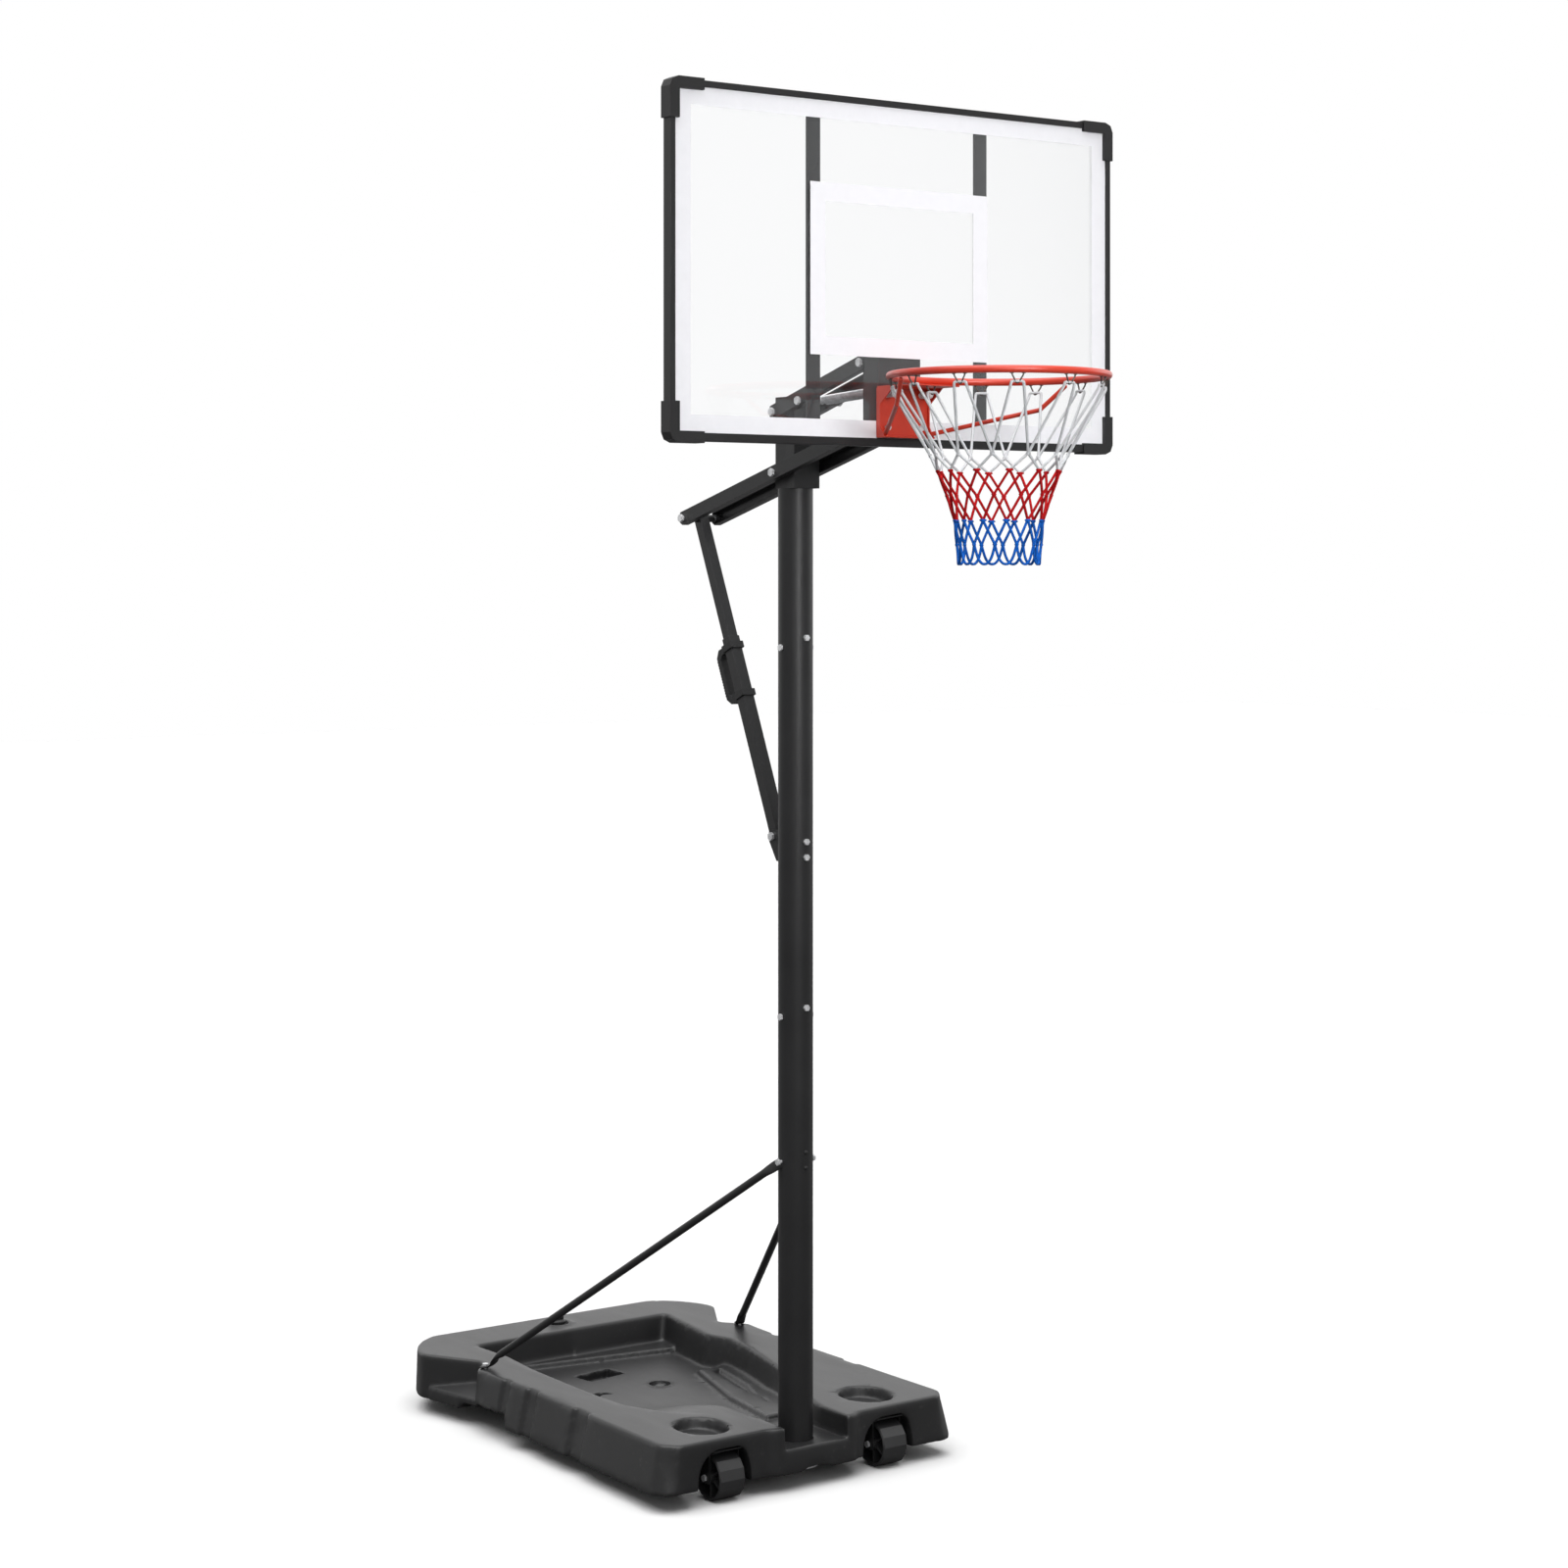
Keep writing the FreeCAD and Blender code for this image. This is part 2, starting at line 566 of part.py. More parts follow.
def head_bracket():
    """A folded channel welded on the pole's top by a plate and a spigot; it carries both linkages."""
    w, front, back = s.head_half_width, s.head_front_y, s.head_back_y
    outline = [(-w, back), (-w, front), (w, front), (w, back), (w - s.head_wall, back),
               (w - s.head_wall, front + s.head_wall), (s.head_wall - w, front + s.head_wall),
               (s.head_wall - w, back)]
    walls = Body("head_walls")
    walls.pad(walls.outline("XY_Plane", outline, s.pole_top_z), s.head_top_z - s.pole_top_z)
    holes = [(s.pivot_y, z, s.pivot_radius + 0.05) for z in (s.lower_pivot_z, s.upper_pivot_z)]
    walls.pocket(walls.circles("YZ_Plane", holes, -w - 5), 2 * w + 10, back=True)
    walls.place()
    floor = block("head_floor", (-w, w), (front, back), (s.pole_top_z, s.pole_top_z + s.head_plate))
    neck = s.pole_outer_radius - s.pole_wall - s.joint_gap
    spigot = tube("head_spigot", neck, neck - 4, s.spigot_length, (0, 0, s.pole_top_z - s.spigot_length + 1))
    return fuse("head_bracket", walls.item, floor, spigot)


def arm_pivot_bolts():
    half = s.arm_inner_x + s.arm_width + s.head_gap + s.bolt_head_thick
    bolts = [bolt("arm_pivot_bolt", s.pivot_radius, (-half, s.pivot_y, z), 2 * half, "x")
             for z in (s.lower_pivot_z, s.upper_pivot_z)]
    return group("arm_pivot_bolts", *bolts)


def arm(label, sign, front, rear, slope, pivot_z, holes):
    """A pressed steel arm: a tray open towards the other arm, with a boss round each hole.

    It is drawn level, with y = 0 and z = 0 at its pole pivot, and then turned to its slope.
    """
    half, chamfer = s.arm_height / 2, s.arm_chamfer

    def side(inset):
        h, c = half - inset, chamfer - inset / 2
        a, b = front + inset, rear - inset
        return [(a, -h + c), (a + c, -h), (b - c, -h), (b, -h + c), (b, h - c), (b - c, h), (a + c, h), (a, h - c)]

    body = Body(label)
    inner = sign * s.arm_inner_x
    flip = sign < 0
    body.pad(body.outline("YZ_Plane", side(0.0), inner), s.arm_width, back=flip)
    body.pocket(body.outline("YZ_Plane", side(s.arm_wall), inner), s.arm_width - s.arm_wall, back=not flip)
    body.pad(body.circles("YZ_Plane", [(y, z, s.boss_radius) for y, z in holes], inner),
             s.arm_width, back=flip)
    body.pocket(body.circles("YZ_Plane", [(y, z, s.pivot_radius + s.running_gap) for y, z in holes], inner),
                s.arm_width, back=not flip)
    body.place(0, s.pivot_y, pivot_z, FreeCAD.Rotation(MINUS_X, slope.value))
    body.item.setExpression("Placement.Rotation.Angle", slope.text)
    return body.item


def link_place(pivot_z):
    """Where the front end of a link is when its pole end is at pivot_z."""
    return s.pivot_y - s.link_length * cosine(s.link_slope), pivot_z + s.link_length * sine(s.link_slope)


def anchor_place():
    """The rear spring bolt, a little below the middle of the upper arms."""
    along, drop = s.anchor_along, s.anchor_drop
    return (s.pivot_y - along * cosine(s.link_slope) + drop * sine(s.link_slope) * -1,
            s.upper_pivot_z + along * sine(s.link_slope) - drop * cosine(s.link_slope))


def arms():
    lift = s.link_slope - s.lower_slope
    front_y, front_z = -1 * s.link_length * cosine(lift), s.link_length * sine(lift)
    for name, sign in (("left", -1), ("right", 1)):
        arm(f"lower_arm_{name}", sign, front_y - s.arm_end, s.rear_reach + s.arm_end, s.lower_slope,
            s.lower_pivot_z, [(front_y, front_z), (0, 0), (s.rear_reach, 0)])
        arm(f"upper_arm_{name}", sign, -1 * s.link_length - s.arm_end, s.arm_end + 2, s.link_slope,
            s.upper_pivot_z, [(-1 * s.link_length, 0), (0, 0), (-1 * s.anchor_along, -1 * s.anchor_drop)])
    outer = s.arm_inner_x + s.arm_width + s.head_gap
    y, z = rear_pin_place()
    stubs = []
    for sign in (-1, 1):
        low, high = (-outer, -s.bush_half - 2) if sign < 0 else (s.bush_half + 2, outer)
        shank = rod("strut_pin_shank", s.pivot_radius, high - low, (low, y, z), "x")
        edge = -outer - s.bolt_head_thick if sign < 0 else outer
        stubs.append(fuse("strut_pin", shank,
                          hexagon("strut_pin_head", s.bolt_head_radius, s.bolt_head_thick, (edge, y, z), "x")))
    group("strut_top_pins", *stubs)
    y, z = anchor_place()
    full = outer + s.bolt_head_thick
    bolt("spring_anchor_bolt", s.pivot_radius, (-full, y, z), 2 * full, "x")


def lift_springs():
    """The two extension springs between the upper arms and the board bracket."""
    start_y, start_z = anchor_place()
    rise, run = s.hanger_z - start_z, start_y - s.hanger_y
    length = math.hypot(rise.value, run.value)
    for name, sign in (("left", -1), ("right", 1)):
        x = sign * s.spring_x
        spots = []
        for share in (s.spring_hook.value / length, 1 - s.spring_hook.value / length):
            spots.append((x, start_y - run * share, start_z + rise * share))
        coil = rod_between("spring_coil", s.spring_radius, *spots)
        core = rod_between("spring_core", s.spring_radius - 2.6, *spots)
        cut(f"lift_spring_{name}", coil, core)


def strut():
    """The height strut, drawn upright on its lower pivot and then leant back."""
    lean = FreeCAD.Rotation(MINUS_X, SIZES["strut_lean"])
    y, z = strut_foot_place()

    def lean_back(item):
        place(item, 0, y, z, lean)
        item.setExpression("Placement.Rotation.Angle", s.strut_lean.text)
        return item

    def square_tube(label, side, low, high, holes):
        body = Body(label)
        half = side / 2
        corners = [(-half, -half), (half, -half), (half, half), (-half, half)]
        hollow = half - s.strut_wall
        bore = [(-hollow, -hollow), (hollow, -hollow), (hollow, hollow), (-hollow, hollow)]
        body.pad(body.outline("XY_Plane", corners, low), high - low)
        body.pocket(body.outline("XY_Plane", bore, low), high - low, back=True)
        body.pocket(body.circles("YZ_Plane", holes, -half - 1), side + 2, back=True)
        return lean_back(body.item)

    square_tube("strut_outer_tube", s.outer_tube, -14, s.outer_tube_top,
                [(0, 0, s.pivot_radius + s.running_gap)])
    square_tube("strut_inner_tube", s.inner_tube, s.inner_tube_bottom, s.strut_length + 13,
                [(0, s.strut_length, s.boss_radius + 0.05)])
    bush = Body("strut_top_bush")
    bush.pad(bush.circles("YZ_Plane", [(0, s.strut_length, s.boss_radius),
                                       (0, s.strut_length, s.pivot_radius + 0.6)], -s.bush_half), 2 * s.bush_half)
    lean_back(bush.item)

    grip = Body("height_grip")
    half = s.outer_tube / 2 + 0.2
    wide, high = s.grip_width / 2, s.collar_height
    tube_hole = [(-half, -half), (half, -half), (half, half), (-half, half)]
    for low in (s.lower_collar - high / 2, s.upper_collar - high / 2):
        edge = half + 4
        collar = [(-edge, -edge), (edge, -edge), (edge, edge), (-edge, edge)]
        grip.pad(grip.outline("XY_Plane", collar, low), high)
    low, top = s.lower_collar - high / 2, s.upper_collar + high / 2
    near, far = half + 1, s.grip_reach
    inner = far - s.grip_thick
    loop = [(near, low), (far - 14, low), (far, low + 16), (far, top - 16), (far - 14, top), (near, top),
            (near, top - high), (inner - 8, top - high), (inner, top - high - 8),
            (inner, low + high + 8), (inner - 8, low + high), (near, low + high)]
    grip.pad(grip.outline("YZ_Plane", loop, -wide), s.grip_width)
    grip.pocket(grip.outline("XY_Plane", tube_hole, low - 5), top - low + 10, back=True)
    slot = [(-6, half - 1), (6, half - 1), (6, half + 12), (-6, half + 12)]
    grip.pocket(grip.outline("XY_Plane", slot, low + 3), high, back=True)
    grip.pocket(grip.circles("YZ_Plane", [(half + 7, low + 10, 2.05)], -wide - 1), s.grip_width + 2, back=True)
    lean_back(grip.item)

    trigger = Body("height_trigger")
    lever = [(half + 4, low + 6), (half + 10, low + 6), (half + 11, low + 90), (half + 8, low + 100),
             (half + 2, low + 100), (half + 2, low + 22)]
    trigger.pad(trigger.outline("YZ_Plane", lever, -5), 10)
    trigger.pocket(trigger.circles("YZ_Plane", [(half + 7, low + 10, 2.06)], -6), 12, back=True)
    lean_back(trigger.item)

    pin = Body("trigger_pin")
    pin.pad(pin.circles("YZ_Plane", [(half + 7, low + 10, 2.0)], -wide), s.grip_width)
    lean_back(pin.item)

    ears = []
    back = s.pole_outer_radius + 0.35
    for edge in (-s.ear_inner_x - s.ear_thick, s.ear_inner_x):
        corners = [(back, z - 56), (back + 8, z - 56), (y + 14, z - 10), (y + 14, z + 10), (y + 4, z + 16), (back, z + 16)]
        ears.append(prism("strut_ear", "YZ_Plane", corners, edge, s.ear_thick))
    outer = s.ear_inner_x + s.ear_thick
    web = block("strut_web", (-outer, outer), (back, back + s.ear_thick), (z - 56, z + 16))
    holes = [rod("ear_hole", s.pivot_radius + 0.05, 60, (-30, y, z), "x")]
    for height in strut_bracket_bolt_heights():
        holes.append(rod("web_hole", s.axle_radius + 0.1, 20, (0, back - 5, height), "y"))
    cut("strut_bracket", fuse("strut_plates", web, *ears), *holes)
    reach = outer + s.head_gap + s.bolt_head_thick
    bolt("strut_foot_bolt", s.pivot_radius, (-reach, y, z), 2 * reach, "x")
    front = s.pole_outer_radius + s.head_gap + 5.6
    bolts = [bolt("bracket_bolt", s.axle_radius, (0, -front, height), front + back + s.ear_thick, "y", nut=False)
             for height in strut_bracket_bolt_heights()]
    group("strut_bracket_bolts", *bolts)


# ---- backboard -----------------------------------------------------------------------------------

def rail(label, plane, lip, start, length, places):
    """One side of the frame: a channel whose front and rear lips hold the panel's edge.

    places turns a depth into the board (from the outer edge) and a y into sketch corners.
    """
    front, back = s.board_front_y, s.board_front_y + s.frame_depth
    slot = s.panel_front_y + s.panel_thick + 0.2
    profile = [
        (0, front), (lip, front), (lip, front + s.front_lip), (s.rail_wall, front + s.front_lip),
        (s.rail_wall, slot), (8, slot), (8, slot + 3), (s.rail_wall, slot + 3),
        (s.rail_wall, back - s.rail_wall), (lip, back - s.rail_wall), (lip, back), (0, back),
    ]
    body = Body(label)
    corners = [places(Size.of(depth), y) for depth, y in profile]
    body.pad(body.outline(plane, corners, start), length)
    return body.place()


def backboard():
    w, low, top = s.board_half_width, s.board_low_z, s.board_top_z
    inset = s.rail_inset
    rail("frame_rail_top", "YZ_Plane", s.top_lip, inset - w, 2 * (w - inset), lambda d, y: (y, top - d))
    rail("frame_rail_bottom", "YZ_Plane", s.bottom_lip, inset - w, 2 * (w - inset), lambda d, y: (y, low + d))
    height = top - low - 2 * inset
    rail("frame_rail_left", "XY_Plane", s.side_lip, low + inset, height, lambda d, y: (d - w, y))
    rail("frame_rail_right", "XY_Plane", s.side_lip, low + inset, height, lambda d, y: (w - d, y))

    panel_y = (s.panel_front_y, s.panel_front_y + s.panel_thick)
    panel = block("panel_sheet", (2.5 - w, w - 2.5), panel_y, (low + 2.5, top - 2.5))
    holes = []
    for sign in (-1, 1):
        for x, z in ((s.fixing_x, s.fixing_z), (s.rim_spring_x, s.rim_spring_z)):
            holes.append(rod("panel_hole", s.rim_bolt_radius + 0.3, 20, (sign * x, s.panel_front_y - 5, z), "y"))
    cut("backboard_panel", panel, *holes)

    def line_frame(label, half_width, low_z, top_z, inner_half, inner_low, inner_top):
        skin = (s.panel_front_y - s.line_thick, s.panel_front_y)
        outer = block(label + "_outer", (-half_width, half_width), skin, (low_z, top_z))
        space = (s.panel_front_y - 2, s.panel_front_y + 2)
        inner = block(label + "_inner", (-inner_half, inner_half), space, (inner_low, inner_top))
        if label == "border_line":
            drills = [rod("line_hole", s.rim_bolt_radius + 0.3, 20,
                          (sign * s.fixing_x, s.panel_front_y - 5, s.fixing_z), "y") for sign in (-1, 1)]
            return cut(label, outer, inner, *drills)
        return cut(label, outer, inner)

    line_frame("border_line", w - s.side_lip, low + s.bottom_lip, top - s.top_lip,
               s.border_inner_x, s.border_low_z, s.border_top_z)
    thick = s.line_width
    line_frame("target_line", s.target_half_width, s.target_low_z, s.target_top_z,
               s.target_half_width - thick, s.target_low_z + thick, s.target_top_z - thick)

    strip_y = s.panel_front_y + s.panel_thick + 3.3
    for name, sign in (("left", -1), ("right", 1)):
        middle, half = sign * s.strip_middle_x, s.strip_width / 2
        block(f"frame_strip_{name}", (middle - half, middle + half), (strip_y, strip_y + s.strip_thick),
              (low + 2.3, top - 2.3))


def corner_caps():
    """Four moulded corners, each pushed over the ends of two rails and the panel's corner."""
    w, proud, arm_length, face = s.board_half_width, s.cap_proud, s.cap_arm, s.cap_face
    front, back = s.board_front_y - proud, s.board_front_y + s.frame_depth + 3.4
    caps = []
    for edge_z, inward, lip in ((s.board_top_z, -1, s.top_lip), (s.board_low_z, 1, s.bottom_lip)):
        outer_z = edge_z - inward * proud
        corner = s.cap_corner_radius
        a = w + proud
        outline = [(a - arm_length, outer_z), (a - corner, outer_z), (a - 0.3 * corner, outer_z + inward * 0.3 * corner),
                   (a, outer_z + inward * corner), (a, outer_z + inward * arm_length),
                   (a - face, outer_z + inward * arm_length), (a - face, outer_z + inward * face),
                   (a - arm_length, outer_z + inward * face)]
        body = Body("corner_block")
        body.pad(body.outline("XZ_Plane", outline, -back), back - front)
        body.place()
        gap = 0.1
        along_z = sorted((edge_z + inward * s.rail_inset - inward * gap, edge_z + inward * 200), key=lambda z: z.value)
        side = block("corner_side_space", (w - s.side_lip - gap, w + gap),
                     (s.board_front_y - gap, s.board_front_y + s.frame_depth + gap), along_z)
        across_z = sorted((edge_z - inward * gap, edge_z + inward * (lip + gap)), key=lambda z: z.value)
        across = block("corner_across_space", (w - 200, w - s.rail_inset + gap),
                       (s.board_front_y - gap, s.board_front_y + s.frame_depth + gap), across_z)
        panel_z = sorted((edge_z + inward * 2.4, edge_z + inward * 200), key=lambda z: z.value)
        sheet_space = block("corner_panel_space", (w - 200, w - 2.4),
                            (s.panel_front_y - s.line_thick - gap, s.panel_front_y + s.panel_thick + gap), panel_z)
        right = cut("corner_right", body.item, side, across, sheet_space)
        caps += [right, mirrored("corner_left", right)]
    return group("corner_caps", *caps)


def board_bracket():
    """A box channel bolted behind the panel, with two lugs for the linkage pivots."""
    half, wall = s.bracket_half_width, s.bracket_wall
    front, back = s.panel_front_y + s.panel_thick + 0.1, s.bracket_back_y
    low, top = s.bracket_low_z, s.bracket_top_z
    box = Body("bracket_channel")
    box.pad(box.outline("XY_Plane", [(-half, front), (half, front), (half, back), (-half, back)], low), top - low)
    box.pocket(box.outline("XY_Plane", [(wall - half, front + wall), (half - wall, front + wall),
                                        (half - wall, back - wall), (wall - half, back - wall)], low),
               top - low, back=True)
    box.place()
    lugs = []
    for edge in (-s.lug_outer_x, s.lug_outer_x - wall):
        lugs.append(block("bracket_lug", (edge, edge + wall), (back - 1, s.lug_back_y), (low, top)))
    holes = []
    for pivot in (s.lower_pivot_z, s.upper_pivot_z):
        y, z = link_place(pivot)
        holes.append(rod("lug_hole", s.pivot_radius + 0.05, 100, (-50, y, z), "x"))
    holes.append(rod("hanger_hole", 4.05, 100, (-50, s.hanger_y, s.hanger_z), "x"))
    for sign in (-1, 1):
        for x, z in ((s.fixing_x, s.fixing_z), (s.rim_spring_x, s.rim_spring_z)):
            holes.append(rod("bracket_hole", s.rim_bolt_radius + 0.3, 12, (sign * x, front - 4, z), "y"))
    return cut("board_bracket", fuse("bracket_plates", box.item, *lugs), *holes)


def board_pivots():
    half = s.arm_inner_x + s.arm_width + s.head_gap + s.bolt_head_thick
    for label, pivot in (("board_lower_bolt", s.lower_pivot_z), ("board_upper_bolt", s.upper_pivot_z)):
        y, z = link_place(pivot)
        bolt(label, s.pivot_radius, (-half, y, z), 2 * half, "x")
    reach = s.lug_outer_x + s.head_gap
    rod("spring_hanger_pin", 4, 2 * reach, (-reach, s.hanger_y, s.hanger_z), "x")


# ---- rim -----------------------------------------------------------------------------------------

def rim_fixings():
    """The plate on the panel's face, the four bolts through it, and the two rim springs."""
    half = s.tray_half_width - 2
    face = s.tray_back_y + 0.1
    plate = block("rim_plate_blank", (-half, half), (face, s.panel_front_y - s.line_thick - 0.1),
                  (s.tray_low_z + 1, s.tray_top_z - 4))
    inner = s.panel_front_y + s.panel_thick + s.bracket_wall + 0.5
    holes, lower, upper = [], [], []
    r = s.rim_bolt_radius
    for sign in (-1, 1):
        x = sign * s.fixing_x
        holes.append(rod("plate_hole", r + 0.1, 20, (x, face - 5, s.fixing_z), "y"))
        front = s.tray_back_y - s.tray_wall - 4.5 - 4.9
        lower.append(bolt("rim_lower_bolt", r, (x, front, s.fixing_z), inner + 5 - front, "y"))
        x = sign * s.rim_spring_x
        holes.append(rod("plate_hole", r + 0.1, 20, (x, face - 5, s.rim_spring_z), "y"))
        front = s.tray_back_y - s.tray_wall - s.rim_spring_length - 0.6 - 4.9
        washer = rod("rim_washer", 8.5, 1.5, (x, front + 4.9, s.rim_spring_z), "y")
        upper.append(fuse("rim_upper_bolt", washer,
                          bolt("rim_upper_rod", r, (x, front, s.rim_spring_z), inner + 5 - front, "y")))
    cut("rim_back_plate", plate, *holes)
    group("rim_lower_bolts", *lower)
    group("rim_spring_bolts", *upper)
    coils = []
    for sign in (-1, 1):
        start = (sign * s.rim_spring_x, s.tray_back_y - s.tray_wall - s.rim_spring_length + 1.2, s.rim_spring_z)
        coils.append(tube("rim_coil", s.rim_spring_radius, s.rim_spring_radius - 2.2,
                          s.rim_spring_length - 1.5, start, "y"))
    group("rim_springs", *coils)


def rim_tray():
    """The pressed tray under the ring's rear: it tips forward on its lower edge against the springs."""
    w, back, wall = s.tray_half_width, s.tray_back_y, s.tray_wall
    low, top, roll = s.tray_low_z, s.tray_top_z, s.tray_roll
    plates = [
        block("tray_face", (-w, w), (back - wall, back), (low + roll, top)),
        block("tray_sill", (-w, w), (back - s.tray_sill, back - roll), (low, low + wall)),
        rod("tray_roll", roll, 2 * w, (-w, back - roll, low + roll), "x"),
        prism("tray_shelf", "XY_Plane", [(-w, back), (-w, -520), (-46, s.tray_front_y), (46, s.tray_front_y),
                                         (w, -520), (w, back)], top - wall, wall),
    ]
    for edge in (-w, w - wall):
        flange = [(back, low + roll), (back - roll, low), (back - s.tray_sill, low), (back - s.tray_flange, low + 26),
                  (back - s.tray_flange, top - 40), (back - 60, top - 1), (back, top - 1)]
        plates.append(prism("tray_side", "YZ_Plane", flange, edge, wall))
    holes = []
    for sign in (-1, 1):
        holes.append(rod("tray_hole", s.rim_bolt_radius + 2, 20, (sign * s.fixing_x, back - 12, s.fixing_z), "y"))
        holes.append(rod("tray_hole", s.rim_bolt_radius + 2.4, 20,
                         (sign * s.rim_spring_x, back - 12, s.rim_spring_z), "y"))
    return cut("rim_tray", fuse("tray_plates", *plates), *holes)


def rim_ring():
    ring = doc.addObject("Part::Torus", "rim_ring")
    bind(ring, Radius1=s.rim_radius, Radius2=s.rod_radius)
    return place(ring, 0, s.rim_y, s.rim_z)


def brace_corner():
    """Where a rim brace bends up, clear of the net."""
    return 198, -641, 2462


def brace_top():
    """Where a rim brace meets the underside of the ring."""
    return 226.5, -692, s.rim_z - s.rod_radius - s.rim_brace_radius - 0.1


def rim_brace_right():
    """A bent rod from the tray's lower corner out and up to the underside of the ring."""
    r = s.rim_brace_radius
    start = (61, -423, s.tray_low_z + 9)
    bend, end = brace_corner(), brace_top()
    rods = [rod_between("brace_run", r, start, bend), rod_between("brace_rise", r, bend, end)]
    rods += [ball("brace_end", r, spot) for spot in (start, bend, end)]
    return fuse("rim_brace_right", *rods)


def net_hooks():
    """Twelve wire hooks under the ring, each a V with a small eye at its foot."""
    hooks = []
    top = s.rim_z - s.rod_radius - s.hook_wire - 0.05
    for step in range(12):
        turn = math.radians(30 * step)
        drop = s.rim_z - s.rod_radius - s.tray_top_z + s.tray_wall if step == TRAY_HOOK else Size.of(0.0)

        def spot(radius, aside, z):
            x = radius * math.cos(turn) - aside * math.sin(turn)
            y = s.rim_y + radius * math.sin(turn) + aside * math.cos(turn)
            return x, y, z - drop

        foot = spot(s.rim_radius, Size.of(0.0), s.hook_low_z)
        wires = [ball("hook_foot", s.hook_wire, foot)]
        for sign in (-1, 1):
            head = spot(s.rim_radius, sign * s.hook_spread, top)
            wires += [rod_between("hook_wire", s.hook_wire, head, foot), ball("hook_head", s.hook_wire, head)]
        hooks.append(fuse("net_hook", *wires))
    return group("net_hooks", *hooks)


def net():
    """The hanging net as a thin open tube with its true tapering outline."""
    wall = s.net_wall
    body = Body("net_tube")
    outer = [(Size.of(radius), z) for radius, z in NET_PROFILE]
    inner = [(Size.of(radius) - wall, z) for radius, z in reversed(NET_PROFILE)]
    body.revolve(body.outline("XZ_Plane", outer + inner), "V_Axis")
    body.place(0, s.rim_y, 0)
    bend, end = brace_corner(), brace_top()
    clear = s.rim_brace_radius + s.net_notch
    notches = []
    for sign in (-1, 1):
        low, high = [(sign * Size.of(spot[0]), *spot[1:]) for spot in (bend, end)]
        notches.append(rod_between("net_notch", clear, low, high))
    return cut("net", body.item, *notches)


# ---- whole ---------------------------------------------------------------------------------------

base_tank()
tank_rooms("ballast_water", s.water_gap, s.water_top_z)
filler_cap()
for side_name, side_sign in (("left", -1), ("right", 1)):
    wheel(f"wheel_{side_name}", side_sign)
    wheel_fork(f"wheel_fork_{side_name}", side_sign)
wheel_axles()
pole_parts()
mirrored("brace_left", brace_right())
brace_bolts()
head_bracket()
arm_pivot_bolts()
arms()
lift_springs()
strut()
backboard()
corner_caps()
board_bracket()
board_pivots()
rim_fixings()
rim_tray()
rim_ring()
mirrored("rim_brace_left", rim_brace_right())
net_hooks()
net()

NODES = """
base_tank ballast_water filler_cap wheel_left wheel_right wheel_fork_left wheel_fork_right wheel_axles
pole_foot_disc pole_lower pole_middle pole_upper pole_joint_bolts brace_left brace_right brace_bolts
head_bracket arm_pivot_bolts lower_arm_left lower_arm_right upper_arm_left upper_arm_right
strut_top_pins spring_anchor_bolt lift_spring_left lift_spring_right strut_bracket strut_bracket_bolts
strut_foot_bolt strut_outer_tube strut_inner_tube strut_top_bush height_grip height_trigger trigger_pin
frame_rail_top frame_rail_bottom frame_rail_left frame_rail_right corner_caps backboard_panel
border_line target_line frame_strip_left frame_strip_right board_bracket board_lower_bolt
board_upper_bolt spring_hanger_pin rim_back_plate rim_lower_bolts rim_spring_bolts rim_springs
rim_tray rim_ring rim_brace_left rim_brace_right net_hooks net
""".split()

doc.recompute()
faults = [item.Label for item in doc.Objects if {"Invalid", "Error"} & set(item.State)]
if faults:
    raise RuntimeError(f"failed objects: {faults}")
os.makedirs("parts", exist_ok=True)
for node in NODES:
    item = doc.getObject(node)
    shape = item.Shape
    if shape.isNull() or not shape.isValid():
        raise RuntimeError(f"bad shape: {node}")
    shape.exportStep(f"parts/{node}.step")
    box = shape.BoundBox
    print(f"{node:20s} solids {len(shape.Solids):2d} volume {shape.Volume:12.0f} "
          f"x {box.XMin:8.1f} {box.XMax:8.1f} y {box.YMin:8.1f} {box.YMax:8.1f} z {box.ZMin:8.1f} {box.ZMax:8.1f}")
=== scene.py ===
import math
import bmesh
import bpy
import numpy as np
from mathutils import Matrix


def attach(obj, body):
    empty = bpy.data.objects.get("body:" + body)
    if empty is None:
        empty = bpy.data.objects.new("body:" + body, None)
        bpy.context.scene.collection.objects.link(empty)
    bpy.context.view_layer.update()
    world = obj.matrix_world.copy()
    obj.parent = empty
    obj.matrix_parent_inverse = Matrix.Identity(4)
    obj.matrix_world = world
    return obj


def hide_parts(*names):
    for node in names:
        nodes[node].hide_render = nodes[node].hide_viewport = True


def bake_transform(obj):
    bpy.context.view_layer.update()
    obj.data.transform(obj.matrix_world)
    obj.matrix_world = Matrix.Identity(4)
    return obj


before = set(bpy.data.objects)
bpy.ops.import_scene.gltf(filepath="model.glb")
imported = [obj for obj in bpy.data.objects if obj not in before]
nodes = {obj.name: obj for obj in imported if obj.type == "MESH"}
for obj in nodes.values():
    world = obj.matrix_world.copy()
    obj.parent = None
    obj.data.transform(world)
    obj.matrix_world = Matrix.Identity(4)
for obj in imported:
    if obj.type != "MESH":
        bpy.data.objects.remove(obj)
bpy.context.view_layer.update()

import openvdb
from mathutils import Matrix, Vector

poleY = -0.078  # the pole's axis
ringY = poleY - 0.740  # the ring's centre
print("model loaded:", len(nodes), "solids")


def operator(operation, reflected=False):
    # a sign of arithmetic, or a function of one value, as a maths node
    def act(self, *others):
        values = (*others, self) if reflected else (self, *others)
        return self.sheet.node("ShaderNodeMath", {"operation": operation}, dict(enumerate(values)))

    return act


